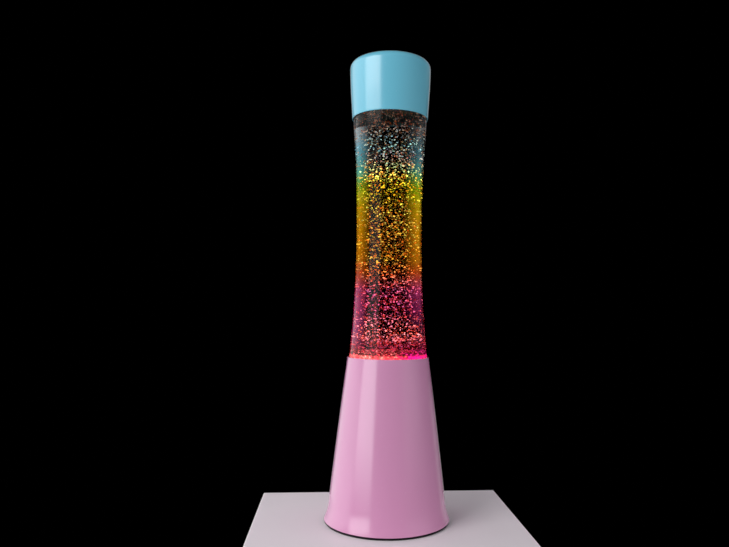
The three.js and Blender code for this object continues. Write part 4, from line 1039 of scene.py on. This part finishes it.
def bulb_base():
    """Hollow screw base: a closed foot, the thread, and a plain skirt that steps out above it."""
    foot, floor = BULB_BASE_FOOT, BULB_BASE_FOOT + BULB_BASE_WALL
    radius, height = bulb_thread(THREAD_RADIUS, THREAD_FOOT, THREAD_TOP)
    radius = np.vstack([rows([0, 5.2, 5.7], THREAD_SIDES), radius,
                        rows([6.6, BULB_SKIRT, BULB_SKIRT, BULB_BORE, BULB_BORE, 0], THREAD_SIDES)])
    height = [foot, foot, foot + 0.4, *height, THREAD_TOP + 0.8, THREAD_TOP + PITCH / 2, BULB_BASE_TOP,
              BULB_BASE_TOP, floor, floor]
    piece("bulb_screw_base", rings(radius, height), nickel, "bulb_base", "bulb")


def bulb_glass():
    """Thin-walled reflector: up from the skirt to the widest place in one curve, then over the front."""
    start, wide = (BULB_SKIRT, BULB_FOOT), (BULB_RADIUS, BULB_FOOT + BULB_HEIGHT * WIDEST_SHARE)
    rise, front = wide[1] - BULB_FOOT, BULB_TOP - wide[1]
    low, high = (BULB_SKIRT, BULB_FOOT + rise * 0.45), (BULB_RADIUS, wide[1] - rise * 0.39)
    brow, crown = (BULB_RADIUS, wide[1] + front * 0.73), (BULB_RADIUS * 0.62, BULB_TOP)
    belly = np.vstack([start, curve(start, low, high, wide, 40),
                       curve(wide, brow, crown, (0, BULB_TOP), 40)])
    bore = BULB_NECK - BULB_WALL
    profile = [
        [0, BULB_TOP], belly[:-1][::-1], [BULB_NECK, BULB_FOOT], [BULB_NECK, STEM_FOOT],
        [bore, STEM_FOOT], [bore, BULB_FOOT], inset(belly, BULB_WALL)[1:-1], [0, BULB_TOP - BULB_WALL]]
    piece("reflector_bulb", flipped(turned(profile)), envelope, "bulb_glass", "bulb")


def stem_and_coil():
    """Flared stem with two posts, and a coil across them: x runs from side to side while
    y = radius x cos a and z = height + radius x sin a."""
    top, post = BULB_FOOT + BULB_HEIGHT * 0.35, BULB_FOOT + BULB_HEIGHT * 0.56
    flare = (BULB_NECK - BULB_WALL - GAP, STEM_FOOT)
    body = turned([
        [0, STEM_FOOT], flare,
        curve(flare, (2.8, STEM_FOOT + 2), (2.7, STEM_FOOT + 4), (2.4, STEM_FOOT + 7), 10),
        [1.3, top - 0.4], [0.9, top], [0, top]], SMALL)
    posts = [tube([[side * 0.5, 0, top - 4], [side * 0.8, 0, top], [side * 5, 0, post]], 0.4, 10, 20)
             for side in (-1, 1)]
    piece("glass_stem", joined(body, *posts), stem_glass, "bulb_stem", "bulb")
    half, radius, turns = 4.7, 0.4, 10
    t = np.linspace(0, 1, 61)
    a = turns * 2 * math.pi * t
    z = post + 0.5 + GAP + 0.6
    route = np.stack([-half + 2 * half * t, radius * np.cos(a), z + radius * np.sin(a)], axis=1)
    piece("wound_filament", tube(route, 0.16, 8, 400), coil, "filament", "bulb")


# Terminal block and leads

def wiring():
    dressed("moulded_terminal_block", "terminal_block", holder_white, 0.3)
    slot = box(-2, 2, -SLOT, SLOT, GRUB_TOP - 0.8, GRUB_TOP + 1)
    grub = cut(rod(1.6, GRUB_TOP - 3.6, GRUB_TOP), slot)
    places = [at(x, PEG_Y) for x in (-BLOCK_PITCH, 0, BLOCK_PITCH)]
    copies("grub_screw", grub, places, brass, "block_screw")
    for name, side, finish, slot in (("live", 1, brown_lead, "brown_lead"),
                                     ("neutral", -1, blue_lead, "blue_lead")):
        clamp, middle, hole = (side * x for x in (BLOCK_PITCH, LEAD_SPREAD, LEAD_HOLE_SPREAD))
        route = [[clamp, BLOCK_FRONT + 3, BORE_HEIGHT], [clamp, BLOCK_FRONT - 7, BORE_HEIGHT],
                 [middle, 3.5, BORE_HEIGHT + LEAD_RADIUS], [middle, 0, NIPPLE_FOOT],
                 [middle, 0, NIPPLE_TOP - LEAD_RADIUS], [hole, 0, CORE_FOOT], [hole, 0, CORE_FOOT + 5.4]]
        piece(f"{name}_wire", tube(route, LEAD_RADIUS), finish, f"{name}_lead")
    dressed("brass_earth_tag", "earth_tag", brass, 0.1)
    shape = moved(screw(EARTH_SCREW_LENGTH), at(0, TAG_REACH, TAG_TOP) @ tilted(math.pi))
    piece("earthing_screw", shape, zinc, "earth_screw")
    tail_y, tail_z = TAG_REACH + 5.1, TAG_TOP + LEAD_RADIUS
    route = [[0, BLOCK_FRONT + 3, BORE_HEIGHT], [0, BLOCK_FRONT, BORE_HEIGHT],
             [0, (BLOCK_FRONT + tail_y) / 2, (BORE_HEIGHT + tail_z) / 2], [0, tail_y, tail_z],
             [0, TAG_REACH + 3.1, tail_z]]
    piece("earth_wire", tube(route, LEAD_RADIUS), green_lead, "earth_lead")


# The bottle and what is in it

def bottle_side(steps=30):
    """Outer side of the bottle: rounded heel, waist, belly, shoulder and neck."""
    heel = (HEEL_RADIUS, BOTTLE_FOOT + HEEL_HEIGHT)
    waist = (WAIST_RADIUS, BOTTLE_FOOT + WAIST_HEIGHT)
    shoulder = (SHOULDER_RADIUS, BOTTLE_FOOT + SHOULDER_HEIGHT)
    neck = (NECK_RADIUS, BOTTLE_FOOT + NECK_HEIGHT)
    lean = (HEEL_RADIUS - WAIST_RADIUS) / (WAIST_HEIGHT - HEEL_HEIGHT)
    return np.vstack([
        rounded((HEEL_FLAT, BOTTLE_FOOT), heel, (HEEL_RADIUS, BOTTLE_FOOT), 16),
        curve(heel, (HEEL_RADIUS - 2 * lean * 33, heel[1] + 33), (WAIST_RADIUS, waist[1] - 38), waist, steps),
        curve(waist, (WAIST_RADIUS, waist[1] + 70), (SHOULDER_RADIUS, shoulder[1] - 18), shoulder, steps),
        curve(shoulder, (SHOULDER_RADIUS, shoulder[1] + 20), (NECK_RADIUS, neck[1] - 16), neck, steps)])


def punt(height):
    """Raised middle of the bottle's foot: half a cosine wave, from the axis down to the foot ring."""
    share = np.linspace(0, 1, 13)
    return np.stack([PUNT_RADIUS * share, height + PUNT_HEIGHT * (1 + np.cos(math.pi * share)) / 2], axis=1)


def inside(distance):
    """Inner side of the bottle, or one a distance further in: the floor's corner, rounded, then the wall."""
    low = FLOOR_HEIGHT + distance
    wall = inset(bottle_side(), GLASS_WALL + distance)
    wall = wall[wall[:, 1] > low + 3.5]
    edge = (HEEL_FLAT - GLASS_WALL - distance, low)
    return np.vstack([rounded(edge, wall[0], (wall[0, 0], low), 12), wall[1:]])


def bottle():
    """Foot, side, collar, bead and mouth, then down the throat and the inner wall to the floor."""
    outer, inner = bottle_side(), inside(0.0)
    bead, mouth, soft = BOTTLE_TOP - 2.6, BOTTLE_TOP - 12.0, MOUTH_ROUND
    neck, top = inner[-1], BOTTLE_TOP
    throat = curve(neck, neck + [0, 2], (MOUTH_RADIUS, mouth - 2), (MOUTH_RADIUS, mouth), 8)
    profile = [
        punt(BOTTLE_FOOT), outer,
        curve(outer[-1], (13.6, BOTTLE_FOOT + NECK_HEIGHT + 5), (COLLAR_RADIUS, bead - 4),
              (COLLAR_RADIUS, bead - 0.9), 10),
        [BEAD_RADIUS, bead],
        rounded((BEAD_RADIUS, top - soft), (BEAD_RADIUS - soft, top), (BEAD_RADIUS, top), 6),
        rounded((MOUTH_RADIUS + soft, top), (MOUTH_RADIUS, top - soft), (MOUTH_RADIUS, top), 6),
        throat[::-1], inner[::-1], punt(FLOOR_HEIGHT)[::-1]]
    piece("glass_bottle_body", turned(profile, ROUND), glass, "glass_bottle", "bottle", 60)


def liquid_wall():
    """Side of the liquid, which wets the glass and so lies just inside its inner face."""
    side = inside(-WETTING)
    edge = np.interp(LIQUID_TOP, side[:, 1], side[:, 0])
    return np.vstack([side[side[:, 1] < LIQUID_TOP - 0.5], [edge, LIQUID_TOP + 0.1]])


def liquid_body():
    """The liquid's side, and a top that climbs the glass: height = level + lip x e ^ ((r - edge) / reach)."""
    side = liquid_wall()
    edge = side[-1, 0]
    r = edge * np.linspace(1, 0, 25)[1:]
    level, lip, reach = LIQUID_TOP - 0.7, 0.8, 1.1
    top = np.stack([r, level + lip * np.exp((r - edge) / reach)], axis=1)
    profile = [punt(FLOOR_HEIGHT - WETTING), side, top]
    piece("clear_fill", turned(profile, ROUND), liquid, "liquid", "bottle", 60)


def glitter_bed():
    """Settled glitter: a disc whose top is a sum of sines and cosines of x and y, and falls off
    at the wall by the twelfth power of the share of its radius."""
    side = inside(BED_GAP)
    edge = np.interp(BED_TOP, side[:, 1], side[:, 0])
    lower = np.vstack([punt(FLOOR_HEIGHT + BED_GAP), side[side[:, 1] < BED_TOP - 1.6]])
    a = angles(ROUND)
    share = np.linspace(1, 0, 40)[:-1, None]
    r = rows(edge * share, ROUND)
    x, y = r * np.cos(a), r * np.sin(a)
    lump = 0.45 * np.sin(0.55 * x + 1.3) * np.cos(0.47 * y)
    lump += 0.3 * np.sin(1.4 * x - 0.9 * y) + 0.2 * np.cos(2.3 * y + x)
    z = BED_TOP - 0.5 + lump - 1.2 * share ** 12
    radius = np.vstack([rows(lower[:, 0], ROUND), r, rows([0], ROUND)])
    height = np.vstack([rows(lower[:, 1], ROUND), z, rows([BED_TOP - 0.2], ROUND)])
    piece("settled_glitter_bed", rings(radius, height), bed_glow, "settled_glitter", "bottle", 80)


def flakes(name, count, low, high, sizes, crowd, bright, seed, nodes=()):
    """Glitter: thin six-sided flakes, each a hexagon with a point above and below. The places are drawn at
    random inside the liquid, radius = wall x draw ^ crowd, and each flake is turned by a random unit
    quaternion. Each flake's painted glint, the strength of its painted light, = least + most x draw ^ rarity,
    so few flakes get a strong one."""
    draw = np.random.default_rng(seed)
    side = liquid_wall()
    z = low + (high - low) * draw.random(count)
    wall = np.interp(z, side[:, 1], side[:, 0]) - sizes[1] - 0.4
    r = wall * draw.random(count) ** crowd
    a = draw.random(count) * 2 * math.pi
    centre = np.stack([r * np.cos(a), r * np.sin(a), z], axis=1)
    size = draw.uniform(*sizes, count)[:, None, None]
    k, point = angles(6), 0.08
    local = np.vstack([np.stack([np.cos(k), np.sin(k), 0 * k], axis=1), [[0, 0, point], [0, 0, -point]]])
    q = draw.normal(size=(count, 4))
    w, x, y, v = (q / np.linalg.norm(q, axis=1, keepdims=True)).T
    turn = np.array([[1 - 2 * (y * y + v * v), 2 * (x * y - w * v), 2 * (x * v + w * y)],
                     [2 * (x * y + w * v), 1 - 2 * (x * x + v * v), 2 * (y * v - w * x)],
                     [2 * (x * v - w * y), 2 * (y * v + w * x), 1 - 2 * (x * x + y * y)]])
    points = centre[:, None] + size * np.einsum("ijn,kj->nki", turn, local)
    here = np.arange(6)
    after = (here + 1) % 6
    one = np.vstack([np.stack([here, after, np.full(6, 6)], axis=1),
                     np.stack([after, here, np.full(6, 7)], axis=1)])
    faces = (one[None] + 8 * np.arange(count)[:, None, None]).reshape(-1, 3)
    obj = piece(name, (points.reshape(-1, 3), faces.tolist()), foil, nodes, "bottle", 180)
    least, most, rarity = bright
    # Painted glint: the strength of each flake's painted light and highlight.
    painted_glint = least + most * draw.random(count) ** rarity
    for label, value in (("painted_glint", painted_glint), ("hue", draw.random(count))):
        layer = obj.data.attributes.new(label, "FLOAT", "POINT")
        layer.data.foreach_set("value", np.repeat(value, 8))


def closure():
    """Sealing disc, and a crimped cap: its skirt's radius grows down to the hem and waves in flutes."""
    low, high = LINER_FOOT, LINER_FOOT + LINER_WALL
    disc = [[0, low], [12.0, low], [12.3, (low + high) / 2], [12.0, high], [0, high]]
    piece("grey_sealing_disc", turned(disc, SMALL), liner, "crown_liner", "bottle")
    sides = CROWN_FLUTES * 12
    wave = (1 + np.cos(CROWN_FLUTES * angles(sides))) / 2
    neck, hem, bend, foot = 14.1, 14.7, CROWN_TOP - 0.9, CROWN_TOP - 5.8
    share = np.linspace(1, 0, 14)[:-1, None]
    fall = neck + (hem - neck) * share + 1.3 * wave * np.sqrt(share) ** 1.3
    top = rounded((neck, bend), (12.6, CROWN_TOP), (neck, CROWN_TOP), 8)
    outer = np.vstack([fall, rows(top[:, 0], sides)])
    outer_z = np.concatenate([bend + (foot - bend) * share[:, 0], top[:, 1]])
    inner_z = outer_z[::-1] - np.linspace(CROWN_WALL, 0, len(outer_z))
    middle = rows([0], sides)
    radius = np.vstack([middle, outer[::-1] - CROWN_WALL, outer, middle])
    height = [CROWN_TOP - CROWN_WALL, *inner_z, *outer_z, CROWN_TOP]
    piece("fluted_crown", rings(radius, height), tinplate, "crown_cap", "bottle", 50)


# The cap

def cap():
    """Tapered side, rounded brow and a top that domes by the square of the radius; then its inner face."""
    foot, ledge = CAP_FOOT, (CAP_RADIUS - CAP_ROUND, CAP_TOP - CAP_DOME)
    brow = (CAP_RADIUS, ledge[1] - CAP_ROUND)
    slope = (CAP_RADIUS - CAP_FOOT_RADIUS) / (CAP_HEIGHT - CAP_ROUND)
    side = curve((CAP_FOOT_RADIUS, foot), (CAP_FOOT_RADIUS + slope * CAP_HANDLE, foot + CAP_HANDLE),
                 (CAP_RADIUS, brow[1] - CAP_HANDLE), brow, 40)
    crest = rounded(brow, ledge, (CAP_RADIUS, ledge[1]), 24)[1:]
    r = np.linspace(ledge[0], 0, 16)[1:]
    dome = np.stack([r, CAP_TOP - CAP_DOME * (r / ledge[0]) ** 2], axis=1)
    middle, soft = (CAP_FOOT_RADIUS - CAP_WALL / 2, foot), foot + 0.4
    hem = rounded(middle, (CAP_FOOT_RADIUS, soft), (CAP_FOOT_RADIUS, foot), 5)
    thin, bore, ceiling = CAP_FOOT_RADIUS - CAP_WALL, CAP_RADIUS - CAP_WALL, ledge[1] - CAP_WALL
    inner = np.vstack([
        rounded(middle, (thin, soft), (thin, foot), 4)[1:], inset(side, CAP_WALL)[1:-1],
        rounded((bore, brow[1]), (ledge[0], ceiling), (bore, ceiling), 16), dome - [0, CAP_WALL]])
    shell = turned([inner[::-1], hem, side, crest, dome], ROUND)
    piece("painted_cap", shell, blue, "cap_shell", "cap")
    low, high = FOAM_FOOT, FOAM_FOOT + FOAM_WALL
    pad = [[0, low], [17.4, low], [18, low + 0.6], [18, high - 0.4], [17.6, high], [0, high]]
    piece("foam_cap_pad", turned(pad), foam, "cap_foam", "cap")


# Camera, lights and floor

def set_camera():
    """At the photograph's place: 578 mm in front of the lamp and 185 mm up, looking 1.5 degrees up
    and rolled by half a degree."""
    place, rise, roll = (-0.0026, -0.578, 0.185), 1.53, 0.5
    data = bpy.data.cameras.new("camera")
    data.lens, data.sensor_width = 32.54, 36.0
    data.shift_x, data.shift_y = -0.0290, 0.0205
    camera = new_object("camera", data)
    aim = tilted(math.radians(90 + rise)) @ tilted(math.radians(roll), "Z")
    camera.matrix_world = at(*place) @ aim
    bpy.context.scene.camera = camera


def feather(lamp, edge):
    """Fades a softbox towards its four sides: the strength rises from nought to one across a share
    of its width and a share of its height."""
    lamp.use_nodes = True
    nodes = lamp.node_tree.nodes
    place = axes(nodes.new("ShaderNodeNewGeometry").outputs["Parametric"])
    near = [maths("MINIMUM", place[i], maths("SUBTRACT", 1.0, place[i])) for i in (0, 1)]
    fade = times(*(span(side, 0.0, share) for side, share in zip(near, edge)))
    feed(nodes["Emission"].inputs, {"Strength": fade})


def softbox(name, angle, distance, height, width, tall, brightness, edge):
    """Rectangular light on a circle round the lamp, facing its axis. The angle is measured from the
    camera's side, to the camera's left, and power = brightness x 4 x area."""
    data = bpy.data.lights.new(name, "AREA")
    data.shape = "RECTANGLE"
    data.size, data.size_y = width, tall
    data.energy = brightness * 4 * width * tall
    feather(data, edge)
    lamp = new_object(name, data)
    lamp.matrix_world = tilted(math.radians(-angle), "Z") @ at(0, -distance, height) @ tilted(math.pi / 2)
    lamp.visible_camera = False
    return lamp


def set_lights():
    """Softboxes that the paint mirrors, softboxes that are seen through the bottle, and soft light
    that is seen in neither. Each is given by its name, angle, distance, height, width, upright
    size, brightness and the two shares of its feathered edge."""
    mirrored = (
        ("low_front_softbox", 50.5, 1.1, 0.21, 0.95, 0.62, 1.75, (0.16, 0.3)),
        ("high_front_softbox", 50, 1.1, 0.91, 1.17, 0.84, 2.35, (0.22, 0.16)),
        ("low_left_softbox", 109, 1.1, -0.13, 1.82, 0.92, 0.67, (0.1, 0.13)),
        ("high_left_softbox", 104, 1.1, 0.92, 1.75, 0.96, 0.66, (0.14, 0.19)),
        ("low_right_edge_softbox", -133, 1.1, -0.24, 0.50, 0.70, 0.23, (0.45, 0.15)),
        ("high_right_edge_softbox", -133, 1.1, 0.98, 0.50, 0.66, 0.125, (0.45, 0.15)),
        ("low_rear_softbox", 180, 1.2, -0.28, 1.6, 0.62, 0.13, (0.1, 0.15)),
        ("high_rear_softbox", 180, 1.2, 1.10, 1.6, 1.0, 0.24, (0.1, 0.15)))
    through = (
        ("rear_left_softbox", 143, 1.2, 0.39, 1.10, 0.74, 0.37, (0.45, 0.3)),
        ("rear_right_softbox", -130, 1.2, 0.45, 1.50, 1.7, 0.46, (0.35, 0.33)))
    neither = (
        ("soft_key", 45, 1.4, 0.75, 0.9, 0.9, 3.7, (0.1, 0.1)),
        ("soft_left", 110, 1.2, 0.25, 1.0, 0.5, 1.75, (0.1, 0.1)),
        ("soft_fill", -62, 1.2, 0.25, 1.2, 0.5, 3.2, (0.1, 0.1)))
    for boxes in (mirrored, through, neither):
        for row in boxes:
            lamp = softbox(*row)
            lamp.visible_glossy = boxes is mirrored
            lamp.visible_transmission = boxes is through


def set_world():
    """Soft fill for matt surfaces, and a black studio for what is seen straight, mirrored or
    through glass."""
    world = bpy.data.worlds.new("studio")
    bpy.context.scene.world = world
    world.use_nodes = True
    nodes = world.node_tree.nodes
    path = nodes.new("ShaderNodeLightPath").outputs
    seen = maths("MAXIMUM", path["Is Camera Ray"],
                 maths("MAXIMUM", path["Is Glossy Ray"], path["Is Transmission Ray"]))
    fill, dark = nodes.new("ShaderNodeBackground"), nodes.new("ShaderNodeBackground")
    feed(fill.inputs, {"Color": (0.92, 0.95, 1.0), "Strength": 0.15})
    feed(dark.inputs, {"Color": (0.0, 0.0, 0.0), "Strength": 1.0})
    mixed = put("MixShader", {0: seen, 1: fill.outputs[0], 2: dark.outputs[0]})
    feed(nodes["World Output"].inputs, {"Surface": mixed.outputs[0]})


def set_floor():
    """Pale floor slab, a little turned, as deep and wide as the photograph shows."""
    made, shader, place = material("pale_floor", Specular_IOR_Level=0.4)
    shade(shader, Base_Color=mottled(noise(place, 9.0), (0.85, 0.775, 0.82), (0.90, 0.825, 0.87)),
          Roughness=span(noise(place, 300.0), 0.3, 0.7, 0.42, 0.5))
    half, thick, middle, turn = 115, 14, (2, -29), 4.2
    place = at(*middle) @ tilted(math.radians(turn), "Z")
    slab = moved(box(-half, half, -half, half, -thick, 0), place)
    floor = new_object("floor", new_mesh("floor", slab))
    floor.data.materials.append(made)
    soften(floor, 1.2, 3)


bpy.context.scene.view_settings.view_transform = "Standard"
set_camera()
set_world()
set_lights()
set_floor()

base_shell()
bottom_plate()
rubber_feet()
plate_fixings()
seat()
cord_grommet()
holder()
bulb()
wiring()
bottle()
liquid_body()
glitter_bed()
flakes("glitter_in_liquid", 3600, BED_TOP + 1, LIQUID_TOP - 2.5, (0.45, 0.8), 0.42, (0.05, 1.9, 1.7), 7,
       [f"drifting_glitter_{i}" for i in range(1, 9)])
flakes("fine_glitter", 6000, BED_TOP + 0.5, LIQUID_TOP - 2, (0.25, 0.45), 0.40, (0.07, 0.7, 2.0), 11)
flakes("sinking_glitter", 420, BED_TOP - 1.0, BED_TOP + 14, (0.5, 0.85), 0.60, (0.12, 1.5, 2.2), 19)
closure()
cap()
